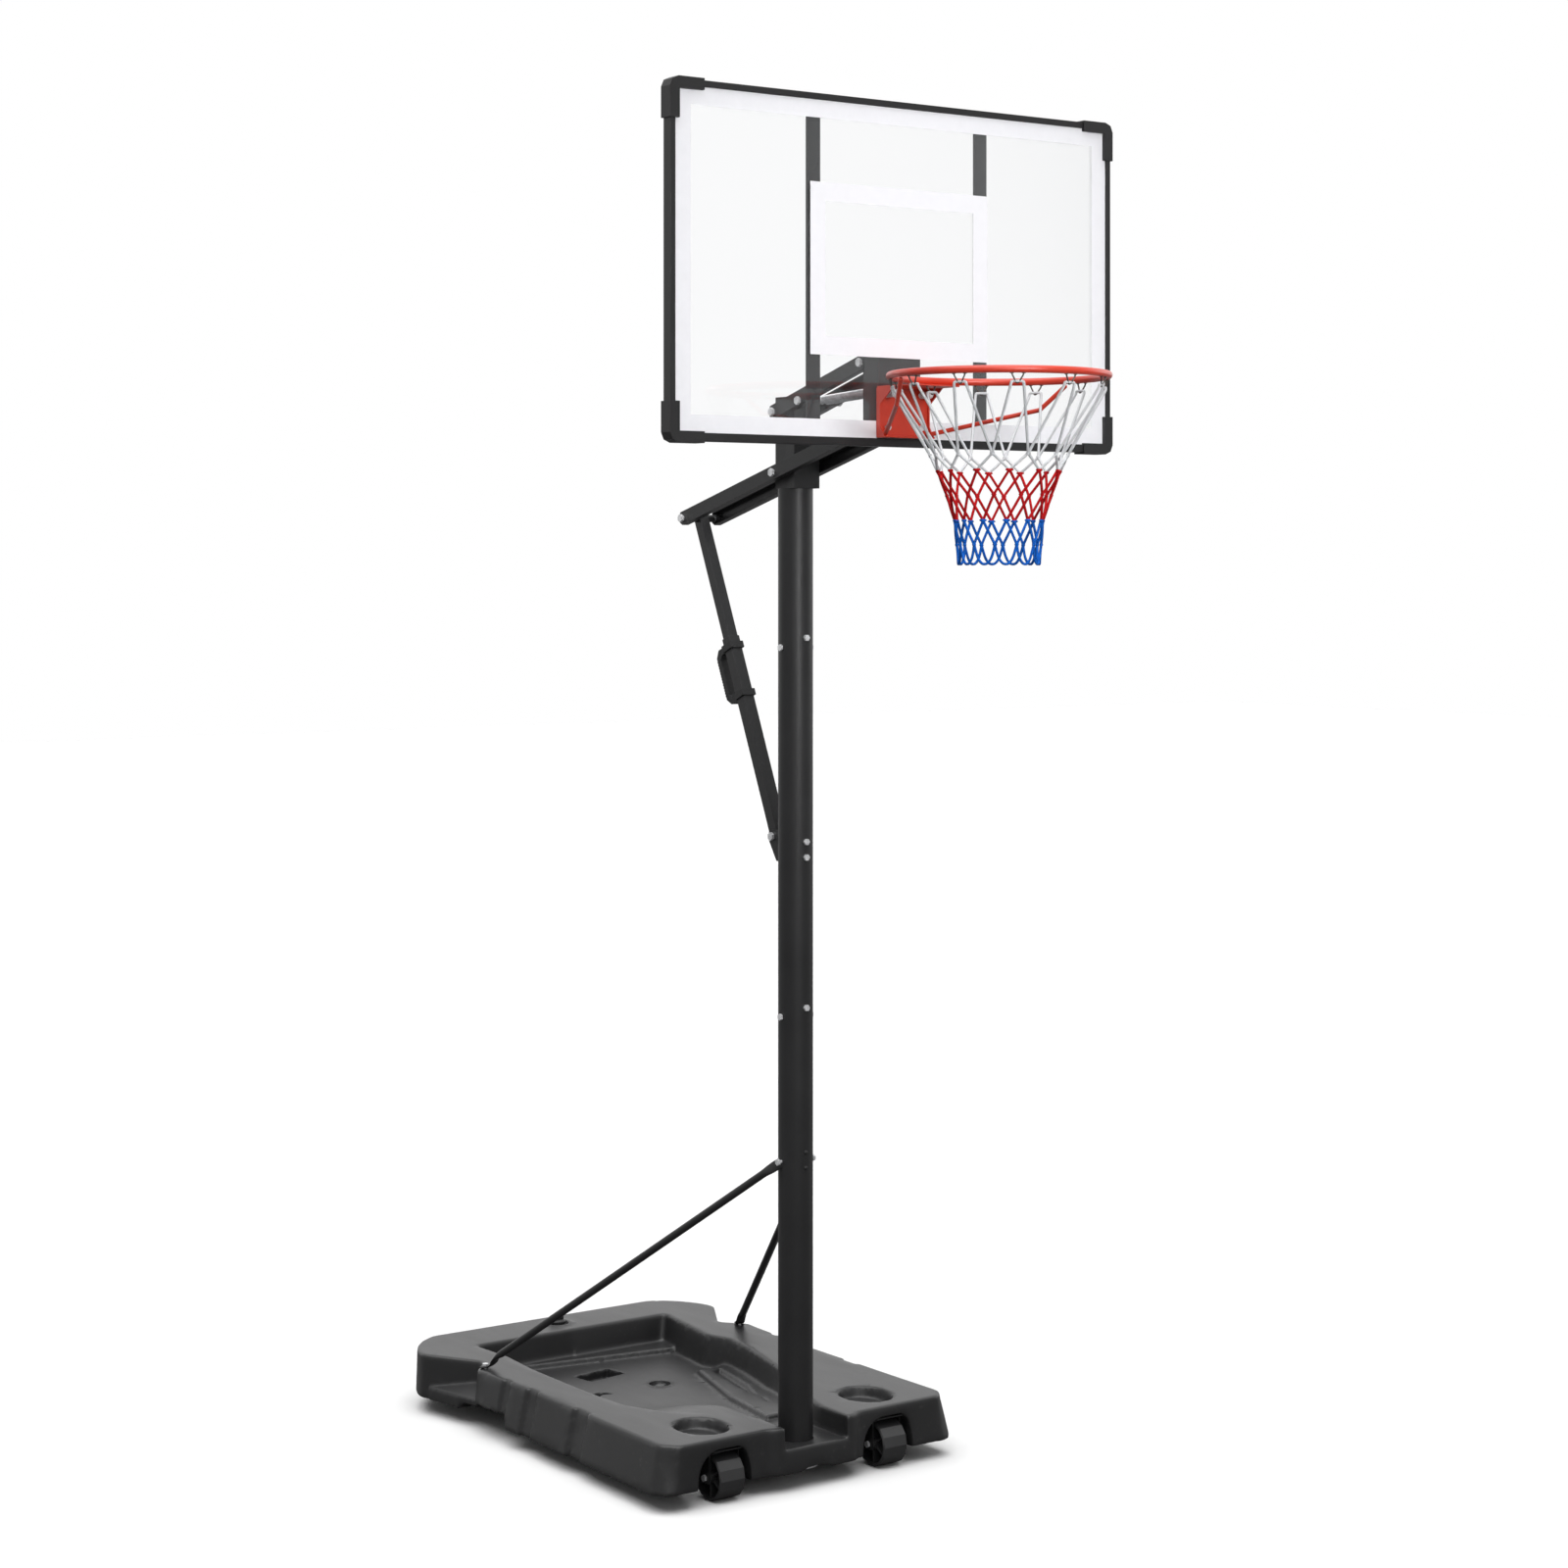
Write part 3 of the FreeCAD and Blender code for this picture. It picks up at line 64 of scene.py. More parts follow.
class Wire:
    # the output of a node, so that node trees can be written as expressions
    def __init__(self, sheet, socket):
        self.sheet, self.socket = sheet, socket

    __add__ = __radd__ = operator("ADD")
    __sub__, __rsub__ = operator("SUBTRACT"), operator("SUBTRACT", True)
    __mul__ = __rmul__ = operator("MULTIPLY")
    __truediv__, __gt__ = operator("DIVIDE"), operator("GREATER_THAN")
    sine, cosine = operator("SINE"), operator("COSINE")

    def other(self, name):
        return Wire(self.sheet, self.socket.node.outputs[name])

    def between(self, low, high):
        values = {"Value": self, "From Min": low, "From Max": high, "To Min": 0.0, "To Max": 1.0}
        return self.sheet.node("ShaderNodeMapRange", {"clamp": True}, values)


class NodeSheet:
    def __init__(self, tree):
        self.tree = tree

    def node(self, kind, settings=None, values=None, output=0):
        made = self.tree.nodes.new(kind)
        for name, value in (settings or {}).items():
            setattr(made, name, value)
        for name, value in (values or {}).items():
            if isinstance(value, Wire):
                self.tree.links.new(value.socket, made.inputs[name])
            else:
                made.inputs[name].default_value = value
        return Wire(self, made.outputs[output]) if made.outputs else None

    def place(self):
        return self.node("ShaderNodeTexCoord", output="Object")

    def stretched(self, x, y, z):
        return self.node("ShaderNodeMapping", {}, {"Vector": self.place(), "Scale": (x, y, z)})

    def noise(self, scale, detail=3.0, roughness=0.55, vector=None):
        values = {"Vector": vector or self.place(), "Scale": scale, "Detail": detail, "Roughness": roughness}
        return self.node("ShaderNodeTexNoise", {"noise_dimensions": "3D"}, values)

    def colours(self, factor, first, second):
        return self.node("ShaderNodeMix", {"data_type": "RGBA"}, {0: factor, 6: first, 7: second}, 2)

    def bump(self, height, strength, distance):
        return self.node("ShaderNodeBump", {}, {"Height": height, "Strength": strength, "Distance": distance})

    def surface(self, values):
        return self.node("ShaderNodeBsdfPrincipled", {}, values)


def linked(name, data):
    # a new object in the scene
    made = bpy.data.objects.new(name, data)
    bpy.context.scene.collection.objects.link(made)
    return made


def meshOf(name, bm):
    mesh = bpy.data.meshes.new(name)
    bm.to_mesh(mesh)
    bm.free()
    return mesh


class MaterialSheet(NodeSheet):
    def __init__(self, name):
        self.material = bpy.data.materials.new(name)
        self.material.use_nodes = True
        self.material.node_tree.nodes.clear()
        super().__init__(self.material.node_tree)

    def close(self, shader):
        self.node("ShaderNodeOutputMaterial", {}, {"Surface": shader})
        return self.material

    def finished(self, values):
        return self.close(self.node("ShaderNodeBsdfPrincipled", {}, values))


def paint(red, green, blue):
    # a screen colour, 0 to 255, as the light it stands for
    parts = [c / 255 for c in (red, green, blue)]
    return tuple(c / 12.92 if c <= 0.04045 else ((c + 0.055) / 1.055) ** 2.4 for c in parts) + (1.0,)


# the camera, the light and the floor
cameraSettings = {
    "lens": 71.01, "sensor": 36.0, "shiftY": -0.1376, "place": (-4.2077, -5.9070, 2.115), "turn": -35.61,
}


def makeCamera(settings):
    data = bpy.data.cameras.new("camera")
    data.lens, data.sensor_width = settings["lens"], settings["sensor"]
    data.shift_y = settings["shiftY"]
    data.clip_end = 100
    camera = linked("camera", data)
    camera.location = settings["place"]
    camera.rotation_euler = (math.radians(90), 0, math.radians(settings["turn"]))
    bpy.context.scene.camera = camera


lightSettings = {
    "roomLight": 0.22, "nearShine": 0.6, "farShine": 1.15, "brightWall": (0.58, 0.81, 0.05), "shineBand": (-0.1, 0.75),
    "backdrop": 1.0, "floorColour": 0.93, "floorMottle": 1.02, "floorBounce": 0.2, "floorDrop": 0.0005,
    "overhead": {"strength": 2.95, "softness": 70.0, "tilt": (8.0, -12.0, 0.0)},
    "front": {"size": 4.0, "watts": 36, "spread": 180, "place": (-3.2, -5.4, 3.0), "towards": (0, -0.3, 1.2)},
    "side": {"size": 2.5, "watts": 18, "spread": 180, "place": (4.2, -1.2, 3.2), "towards": (0, -0.3, 1.2)},
    "board": {"size": 2.0, "watts": 13.5, "spread": 34, "place": (-1.2, -6.4, 3.5), "towards": (0.1, -0.5, 2.75)},
}


def makeLights(settings):
    scene = bpy.context.scene
    scene.view_settings.view_transform = "Standard"
    world = bpy.data.worlds.new("studio")
    world.use_nodes = True
    world.node_tree.nodes.clear()
    sheet = NodeSheet(world.node_tree)
    seen = sheet.node("ShaderNodeLightPath", output="Is Camera Ray")
    strength = settings["roomLight"] + seen * (settings["backdrop"] - settings["roomLight"])
    # shiny surfaces mirror a bright wall behind the object and a dimmer room in front of it
    way = sheet.node("ShaderNodeTexCoord", output="Generated")
    facing = {0: way, 1: settings["brightWall"]}
    across = sheet.node("ShaderNodeVectorMath", {"operation": "DOT_PRODUCT"}, facing, "Value")
    low, high = settings["nearShine"] - settings["roomLight"], settings["farShine"] - settings["roomLight"]
    shine = across.between(*settings["shineBand"]) * (high - low) + low
    strength = strength + seen.other("Is Glossy Ray") * shine
    glow = sheet.node("ShaderNodeBackground", {}, {"Color": (1, 1, 1, 1), "Strength": strength})
    sheet.node("ShaderNodeOutputWorld", {}, {"Surface": glow})
    scene.world = world
    sky = settings["overhead"]
    data = bpy.data.lights.new("overhead", "SUN")
    data.energy, data.angle = sky["strength"], math.radians(sky["softness"])
    linked("overhead", data).rotation_euler = [math.radians(angle) for angle in sky["tilt"]]
    for name in ("front", "side", "board"):
        lamp = settings[name]
        data = bpy.data.lights.new(name, "AREA")
        data.energy, data.size, data.spread = lamp["watts"], lamp["size"], math.radians(lamp["spread"])
        light = linked(name, data)
        light.location = lamp["place"]
        light.rotation_euler = (Vector(lamp["towards"]) - Vector(lamp["place"])).to_track_quat("-Z", "Y").to_euler()


def makeFloor(settings):
    bm = bmesh.new()
    bmesh.ops.create_grid(bm, x_segments=1, y_segments=1, size=30)
    bmesh.ops.translate(bm, verts=bm.verts, vec=(0, 0, -settings["floorDrop"]))
    floor = linked("floor", meshOf("floor", bm))
    sheet = MaterialSheet("paleFloor")
    level, bounce = settings["floorColour"], settings["floorBounce"]
    brighter = level * settings["floorMottle"]
    mottle = sheet.colours(sheet.noise(3.0), (level, level, level, 1), (brighter, brighter, brighter, 1))
    seen = sheet.node("ShaderNodeLightPath", output="Is Camera Ray")
    shown = sheet.node("ShaderNodeBsdfDiffuse", {}, {"Color": mottle})
    dim = sheet.node("ShaderNodeBsdfDiffuse", {}, {"Color": (bounce, bounce, bounce, 1)})
    floor.data.materials.append(sheet.close(sheet.node("ShaderNodeMixShader", {}, {0: seen, 1: dim, 2: shown})))


makeCamera(cameraSettings)
makeLights(lightSettings)
makeFloor(lightSettings)
print("camera, light and floor made")


# the finishes: screen colours, the least and most roughness, the fineness of the grain
finishes = {
    "tankPlastic": {"dark": (26, 26, 27), "light": (36, 36, 37), "grain": 900.0, "roughness": (0.34, 0.46)},
    "blackSteel": {"dark": (32, 32, 33), "light": (39, 39, 40), "grain": 1500.0, "roughness": (0.36, 0.46),
                   "scuffs": 0.5, "gloss": 0.35},
    "frameBlack": {"dark": (21, 21, 22), "light": (27, 27, 28), "grain": 1500.0, "roughness": (0.38, 0.5),
                   "scuffs": 0.3, "gloss": 0.4},
    "wheelPlastic": {"dark": (38, 38, 39), "light": (48, 48, 49), "grain": 1100.0, "roughness": (0.26, 0.36),
                     "scuffs": 0.35, "gloss": 0.55},
    "moulded": {"dark": (19, 19, 20), "light": (27, 27, 28), "grain": 1100.0, "roughness": (0.4, 0.55),
                "scuffs": 0.35, "gloss": 0.4},
    "rimRed": {"dark": (182, 44, 24), "light": (206, 60, 37), "grain": 1300.0, "roughness": (0.24, 0.36),
               "scuffs": 0.35, "gloss": 0.6},
    "zinc": {"colour": (244, 245, 247), "roughness": 0.26, "marks": 0.35, "metal": 0.45},
    "springSteel": {"colour": (240, 241, 244), "roughness": 0.22, "marks": 0.3, "metal": 0.5},
    "hookWire": {"colour": (92, 84, 80), "roughness": 0.32, "marks": 0.6, "metal": 0.8},
    "netCord": {"turns": 1500.0, "redTop": 2.3245, "blueTop": 2.2195,
                "white": (208, 210, 213), "red": (182, 0, 8), "blue": (0, 92, 190)},
}


def coatedFinish(name):
    # a coloured coat: cloudy colour, fine orange peel, dulled and paler where it has been rubbed
    sheet, settings = MaterialSheet(name), finishes[name]
    cloud = sheet.noise(7.0, 4.0)
    patches = sheet.noise(38.0, 8.0, 0.72).between(0.61, 0.74) * sheet.noise(5.0, 2.0).between(0.45, 0.65)
    rubbed = patches * settings["scuffs"]
    colour = sheet.colours(cloud.between(0.3, 0.7), paint(*settings["dark"]), paint(*settings["light"]))
    pale = tuple(min(1.0, c * 1.9 + 0.012) for c in paint(*settings["light"])[:3]) + (1.0,)
    colour = sheet.colours(rubbed, colour, pale)
    low, high = settings["roughness"]
    rough = cloud * (high - low) + low + rubbed * 0.25
    peel = sheet.noise(settings["grain"], 2.0) * 0.5 + sheet.noise(settings["grain"] / 7, 2.0)
    return sheet.finished({
        "Base Color": colour, "Roughness": rough, "Specular IOR Level": settings["gloss"],
        "Normal": sheet.bump(peel, 0.22, 0.0006),
    })


def tankFinish(name):
    # blow-moulded plastic: a fine leathery skin with faint flow marks and dusty scuffs
    sheet, settings = MaterialSheet(name), finishes[name]
    cloud = sheet.noise(4.0, 5.0)
    flow = sheet.noise(2.0, 6.0, 0.6, sheet.stretched(9.0, 2.0, 14.0))
    dust = sheet.noise(55.0, 7.0, 0.75).between(0.58, 0.72) * sheet.noise(6.0, 3.0).between(0.42, 0.62)
    colour = sheet.colours(cloud.between(0.3, 0.7), paint(*settings["dark"]), paint(*settings["light"]))
    colour = sheet.colours(dust * 0.35, colour, paint(96, 95, 92))
    low, high = settings["roughness"]
    rough = flow * (high - low) + low + dust * 0.15
    cells = sheet.node("ShaderNodeTexVoronoi", {"feature": "SMOOTH_F1"},
                       {"Vector": sheet.place(), "Scale": settings["grain"] * 0.55, "Smoothness": 0.6}, "Distance")
    skin = cells * 0.8 + sheet.noise(settings["grain"] / 5, 3.0) * 0.7
    return sheet.finished({
        "Base Color": colour, "Roughness": rough, "Specular IOR Level": 0.5,
        "Normal": sheet.bump(skin, 0.2, 0.0006),
    })


def platedFinish(name):
    # plated steel: bright, a little streaky, with dull freckles
    sheet, settings = MaterialSheet(name), finishes[name]
    colour = settings["colour"]
    cloud = sheet.noise(60.0, 4.0)
    freckle = sheet.noise(420.0, 3.0).between(0.55, 0.75) * settings["marks"]
    tone = sheet.colours(cloud.between(0.35, 0.65), paint(*colour), paint(*[c * 0.86 for c in colour]))
    tone = sheet.colours(freckle, tone, paint(120, 116, 108))
    rough = cloud * 0.16 + settings["roughness"] + freckle * 0.2
    return sheet.finished({
        "Base Color": tone, "Roughness": rough, "Metallic": settings["metal"] - freckle * 0.3,
        "Normal": sheet.bump(sheet.noise(900.0, 2.0), 0.15, 0.0003),
    })


def acrylicFinish():
    # clear sheet: what is behind shows through, with a sharp reflection and a breath of dust and hairlines
    sheet = MaterialSheet("clearAcrylic")
    facing = sheet.node("ShaderNodeFresnel", {}, {"IOR": 1.49})
    clear = sheet.node("ShaderNodeBsdfTransparent", {}, {"Color": (0.988, 0.99, 0.992, 1)})
    mirror = sheet.surface({
        "Base Color": (0.98, 0.99, 1.0, 1), "Metallic": 1.0, "Roughness": 0.015,
        "Normal": sheet.bump(sheet.noise(2.2, 1.0), 0.04, 0.002),
    })
    glazed = sheet.node("ShaderNodeMixShader", {}, {0: facing * 0.5, 1: clear, 2: mirror})
    hairs = sheet.noise(5.0, 6.0, 0.7, sheet.stretched(90.0, 1.0, 2.0)).between(0.66, 0.78)
    haze = 0.006 + sheet.noise(3.0, 4.0) * 0.008 + hairs * 0.03
    film = sheet.surface({"Base Color": (0.93, 0.94, 0.96, 1), "Roughness": 0.5})
    return sheet.close(sheet.node("ShaderNodeMixShader", {}, {0: haze, 1: glazed, 2: film}))


def printFinish():
    # screen-printed lines on the sheet's front, slightly uneven ink under a gloss
    sheet = MaterialSheet("whitePrint")
    ink = sheet.noise(45.0, 5.0)
    colour = sheet.colours(ink.between(0.3, 0.7), paint(235, 235, 239), paint(232, 232, 236))
    rough = ink * 0.15 + 0.16
    return sheet.finished({
        "Base Color": colour, "Roughness": rough, "Specular IOR Level": 0.5,
        "Normal": sheet.bump(sheet.noise(700.0, 2.0), 0.08, 0.0003),
    })


def cordFinish(name):
    # braided cord, dyed in three bands from the top down, its colour darkened by painted shade in the braid's hollows;
    # cordTwist holds sine, cosine and length along it
    sheet, settings = MaterialSheet(name), finishes[name]
    twist = sheet.node("ShaderNodeAttribute", {"attribute_name": "cordTwist"}, output="Vector")
    axes = sheet.node("ShaderNodeSeparateXYZ", {}, {0: twist})
    sine, cosine, along = axes, axes.other("Y"), axes.other("Z")
    turns = along * settings["turns"]
    right = sine * turns.cosine() + cosine * turns.sine()
    left = sine * turns.cosine() - cosine * turns.sine()
    braid = right * left * 0.5 + 0.5
    height = sheet.node("ShaderNodeSeparateXYZ", {}, {0: sheet.place()}, "Z") + sheet.noise(300.0) * 0.002
    colour = sheet.colours(height > settings["redTop"], paint(*settings["red"]), paint(*settings["white"]))
    colour = sheet.colours(settings["blueTop"] - height > 0.0, colour, paint(*settings["blue"]))
    # painted shade: the dyed colour is made darker where the braid's relief is low, in the hollows between strands
    colourWithPaintedShade = sheet.node("ShaderNodeVectorMath", {"operation": "SCALE"}, {0: colour, "Scale": 0.72 + braid * 0.34})
    fuzz = sheet.noise(1800.0, 3.0)
    return sheet.finished({
        "Base Color": colourWithPaintedShade, "Roughness": 0.72 + fuzz * 0.2, "Specular IOR Level": 0.25,
        "Normal": sheet.bump(braid + fuzz * 0.4, 0.5, 0.0006),
    })


def waterFinish():
    sheet = MaterialSheet("ballastWater")
    ripple = sheet.noise(30.0, 4.0)
    return sheet.finished({
        "Base Color": sheet.colours(ripple, paint(96, 128, 140), paint(128, 158, 168)),
        "Roughness": ripple * 0.1 + 0.03, "Normal": sheet.bump(ripple, 0.2, 0.002),
    })


made = {name: coatedFinish(name) for name in ("blackSteel", "frameBlack", "wheelPlastic", "moulded", "rimRed")}
made.update({name: platedFinish(name) for name in ("zinc", "springSteel", "hookWire")})
slotFinishes = {
    "tank_plastic": tankFinish("tankPlastic"), "net_cord": cordFinish("netCord"), "water": waterFinish(),
    "acrylic": acrylicFinish(), "white_print": printFinish(), "black_steel": made["blackSteel"],
    "frame_black": made["frameBlack"], "wheel_plastic": made["wheelPlastic"], "rim_red": made["rimRed"],
    "cap_plastic": made["moulded"], "corner_plastic": made["moulded"], "grip_plastic": made["moulded"],
    "zinc": made["zinc"], "spring_steel": made["springSteel"], "hook_wire": made["hookWire"],
}
print("finishes made:", len(slotFinishes))


def finishPiece(name, mesh, body, slotName, replaced, smooth=35.0, recalculate=True):
    # a plain mesh whose place is in its points, on one body of the model
    if recalculate:
        bm = bmesh.new()
        bm.from_mesh(mesh)
        bmesh.ops.remove_doubles(bm, verts=bm.verts, dist=1e-6)
        bmesh.ops.recalc_face_normals(bm, faces=bm.faces)
        bm.to_mesh(mesh)
        bm.free()
    mesh.shade_smooth()
    mesh.set_sharp_from_angle(angle=math.radians(smooth))
    mesh.materials.clear()
    mesh.materials.append(slotFinishes[slotName])
    piece = linked(name, mesh)
    if body:
        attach(piece, body)
    if replaced:
        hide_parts(*replaced)
    return piece


def meshFrom(name, points, faces):
    mesh = bpy.data.meshes.new(name)
    mesh.from_pydata([tuple(p) for p in points], [], [tuple(f) for f in faces])
    mesh.update()
    return mesh


def moved(mesh, place):
    mesh.transform(Matrix.Translation(place))


def joinMeshes(name, meshes):
    bm = bmesh.new()
    for mesh in meshes:
        bm.from_mesh(mesh)
    return meshOf(name, bm)


def softened(name, sources, body, slotName, width):
    # the CAD solids again with their sharp edges broken by a small bevel
    bm = bmesh.new()
    for source in sources:
        bm.from_mesh(nodes[source].data)
    bmesh.ops.remove_doubles(bm, verts=bm.verts, dist=2e-6)
    bmesh.ops.dissolve_limit(bm, angle_limit=math.radians(2), verts=bm.verts, edges=bm.edges)
    piece = finishPiece(name, meshOf(name, bm), None, slotName, sources, 40.0, False)
    bevel = piece.modifiers.new("brokenEdges", "BEVEL")
    bevel.width, bevel.segments, bevel.limit_method = width, 2, "ANGLE"
    bevel.angle_limit = math.radians(40)
    bevel.use_clamp_overlap = True
    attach(piece, body)


class NodeGroup(NodeSheet):
    # a geometry tree with named inputs
    def __init__(self, name, inputs):
        super().__init__(bpy.data.node_groups.new(name, "GeometryNodeTree"))
        face = self.tree.interface
        face.new_socket("Geometry", in_out="INPUT", socket_type="NodeSocketGeometry")
        for title, (kind, value) in inputs.items():
            made = face.new_socket(title, in_out="INPUT", socket_type="NodeSocket" + kind)
            if value is not None:
                made.default_value = value
        face.new_socket("Geometry", in_out="OUTPUT", socket_type="NodeSocketGeometry")
        self.entry = self.node("NodeGroupInput")

    def given(self, title):
        return self.entry.other(title)

    def close(self, geometry):
        whole = self.node("GeometryNodeRealizeInstances", {}, {0: geometry})
        dressed = self.node("GeometryNodeSetMaterial", {}, {0: whole, "Material": self.given("Material")})
        self.node("NodeGroupOutput", {}, {0: dressed})
        return self.tree

    def tube(self, curve, radius, sides):
        # a tube along a curve that remembers where round and along it each point lies
        along = self.node("GeometryNodeSplineParameter", output="Length")
        kept = self.node("GeometryNodeCaptureAttribute", {"domain": "POINT"}, {0: curve})
        kept.socket.node.capture_items.new("FLOAT", "along")
        self.tree.links.new(along.socket, kept.socket.node.inputs["along"])
        circle = {"Resolution": sides, "Radius": radius}
        ring = self.node("GeometryNodeCurvePrimitiveCircle", {"mode": "RADIUS"}, circle)
        share = self.node("GeometryNodeSplineParameter", output="Factor")
        turned = self.node("GeometryNodeCaptureAttribute", {"domain": "POINT"}, {0: ring})
        turned.socket.node.capture_items.new("FLOAT", "share")
        self.tree.links.new(share.socket, turned.socket.node.inputs["share"])
        skin = self.node("GeometryNodeCurveToMesh", {}, {"Curve": kept, "Profile Curve": turned, "Fill Caps": True})
        angle = turned.other("share") * (2 * math.pi)
        twist = self.node("ShaderNodeCombineXYZ", {}, {0: angle.sine(), 1: angle.cosine(), 2: kept.other("along")})
        return self.node("GeometryNodeStoreNamedAttribute", {"data_type": "FLOAT_VECTOR", "domain": "POINT"},
                         {0: skin, "Name": "cordTwist", "Value": twist})

    def ringOf(self, item, count):
        # copies of an item turned round the upright axis
        points = self.node("GeometryNodePoints", {}, {"Count": count})
        step = self.node("GeometryNodeInputIndex") * (2 * math.pi) / count
        turn = self.node("ShaderNodeCombineXYZ", {}, {2: step})
        return self.node("GeometryNodeInstanceOnPoints", {}, {"Points": points, "Instance": item, "Rotation": turn})


def runGroup(tree, values, slotName):
    # the tree's result as a plain mesh; its own inputs are set by identifier before it is first evaluated
    carrier = linked("carrier", bpy.data.meshes.new("carrier"))
    modifier = carrier.modifiers.new("nodes", "NODES")
    modifier.node_group = tree
    for item in tree.interface.items_tree:
        if item.in_out == "INPUT" and item.name in values:
            modifier[item.identifier] = values[item.name]
        if item.in_out == "INPUT" and item.name == "Material":
            modifier[item.identifier] = slotFinishes[slotName]
    bpy.context.view_layer.update()
    graph = bpy.context.evaluated_depsgraph_get()
    mesh = bpy.data.meshes.new_from_object(carrier.evaluated_get(graph))
    carrier.modifiers.clear()
    bpy.data.objects.remove(carrier)
    return mesh


def curveObject(name, splines):
    # smooth splines through the air, each a list of points
    data = bpy.data.curves.new(name, "CURVE")
    data.dimensions = "3D"
    data.resolution_u = 6
    for points in splines:
        spline = data.splines.new("NURBS")
        spline.points.add(len(points) - 1)
        for held, point in zip(spline.points, points):
            held.co = (*point, 1.0)
        spline.order_u = min(3, len(points))
        spline.use_endpoint_u = True
    return linked(name, data)


def repeatedTubeTree(name):
    # one curve's tubes repeated round an upright axis
    group = NodeGroup(name, {
        "Cell": ("Object", None), "Count": ("Int", 12), "Radius": ("Float", 0.002), "Sides": ("Int", 8),
        "Material": ("Material", None),
    })
    cell = group.node("GeometryNodeObjectInfo", {"transform_space": "ORIGINAL"}, {0: group.given("Cell")}, "Geometry")
    tube = group.tube(cell, group.given("Radius"), group.given("Sides"))
    return group.close(group.ringOf(tube, group.given("Count")))


repeatedTubes = repeatedTubeTree("repeatedTubes")


def repeatedTube(name, splines, count, radius, slotName, centre=(0, 0, 0)):
    curve = curveObject(name + "Cell", splines)
    mesh = runGroup(repeatedTubes, {"Cell": curve, "Count": count, "Radius": radius, "Sides": 8}, slotName)
    bpy.data.objects.remove(curve)
    moved(mesh, centre)
    return mesh


# the base tank, shaped on a grid of distances to its surface, in millimetres from the pole's axis
tankSettings = {
    "spacing": 4.0, "top": 150.0, "under": 40.0, "edge": 8.0, "flare": (0.03, 0.2), "flareFrom": 135,
    "low": (-450, -96, -9), "high": (450, 1146, 168), "waterDepth": 16, "waterTop": 122, "waterSpacing": 12.0,
    "half": [(0, -84), (110, -85), (128, -71), (370, -70), (404, -33), (396, 500), (408, 772), (362, 822),
             (357, 840), (441, 980), (437, 1010), (425, 1040), (404, 1075), (372, 1110), (330, 1137), (0, 1137)],
    "channel": {"half": 88, "floor": 96, "end": 150},
    "farSide": [(86, 20), (97, 58), (150, 200), (215, 378), (240, 470), (262, 560), (276, 664), (252, 735),
                (262, 800), (286, 975), (285, 985)],
    "nearSide": [(-285, 985), (-274, 847), (-286, 709), (-288, 573), (-288, 440), (-280, 300), (-232, 190),
                 (-124, 69), (-86, 20)],
    "groove": [(110, 250), (150, 330), (206, 640), (240, 660), (200, 480)],
    "wellFloor": {"low": 68, "nearRise": 82, "frontRise": 28, "ledge": 14, "ridge": 15, "groove": 11},
    "flutes": ((641, 14, 6), (530, 22, 7), (308, 30, 8)),
    "cup": {"x": 236, "y": 43, "half": (62, 74), "floor": 122, "hollow": (34, 28, 14)},
    "wheelArch": {"x": 232, "back": 46, "front": -76, "left": (50, 88), "right": (50, 56), "spring": 44, "high": 80},
    "lip": {"half": 46, "top": 50},
    "shelf": {"y": 870, "half": 92, "low": 72, "slope": 0.5, "wide": 70}, "braceHole": (380, 775, 5.0),
    "handholds": ((618, 776, 71), (700, 850, 56)),
    "feet": {"x": 300, "y": (190, 600, 1030), "radius": 30},
    "pocket": {"at": (-18, 825), "half": (57, 33), "low": 44, "skew": 0.18},
    "plug": {"at": (54, 656), "radii": (31, 26.5, 13), "heights": (71.5, 62, 67.5), "low": 46},
    "moon": {"at": (-116, 655), "radius": 27, "biteAt": (-108, 640), "bite": 22, "floor": 58},
    "filler": {"y": 1060, "ring": (35, 4.5), "rebate": (29.5, 143), "hole": (24.6, 122)},
    "poleHole": 41.2, "poleRecess": (58.5, 39.6),
}


def smoothMin(a, b, k):
    h = np.clip(0.5 + 0.5 * (b - a) / k, 0.0, 1.0)
    return b * (1 - h) + a * h - k * h * (1 - h)


def smoothMax(a, b, k):
    return -smoothMin(-a, -b, k)


def outlineDistance(x, y, corners):
    # signed distance to a closed outline, below zero inside
    best = np.full(np.broadcast(x, y).shape, 1e9)
    inside = np.zeros(best.shape, bool)
    for (ax, ay), (bx, by) in zip(corners, corners[1:] + corners[:1]):
        ex, ey = bx - ax, by - ay
        length = ex * ex + ey * ey
        if length < 1e-9:
            continue
        t = np.clip(((x - ax) * ex + (y - ay) * ey) / length, 0, 1)
        best = np.minimum(best, (x - ax - t * ex) ** 2 + (y - ay - t * ey) ** 2)
        if by != ay:
            crosses = ((ay > y) != (by > y)) & (x < ax + (y - ay) * ex / (by - ay))
            inside ^= crosses
    return np.where(inside, -1, 1) * np.sqrt(best)


def blurred(field, width):
    # a few passes of a running mean round corners without moving straight edges
    for axis in (0, 1):
        for _ in range(2):
            padded = np.concatenate([np.repeat(np.take(field, [0], axis), width, axis), field,
                                     np.repeat(np.take(field, [-1], axis), width, axis)], axis)
            total = sum(np.take(padded, range(k, k + field.shape[axis]), axis) for k in range(2 * width + 1))
            field = total / (2 * width + 1)
    return field


def ovalDistance(x, y, z, centre, half):
    reach = np.sqrt(((x - centre[0]) / half[0]) ** 2 + ((y - centre[1]) / half[1]) ** 2
                    + ((z - centre[2]) / half[2]) ** 2)
    return (reach - 1) * min(half)


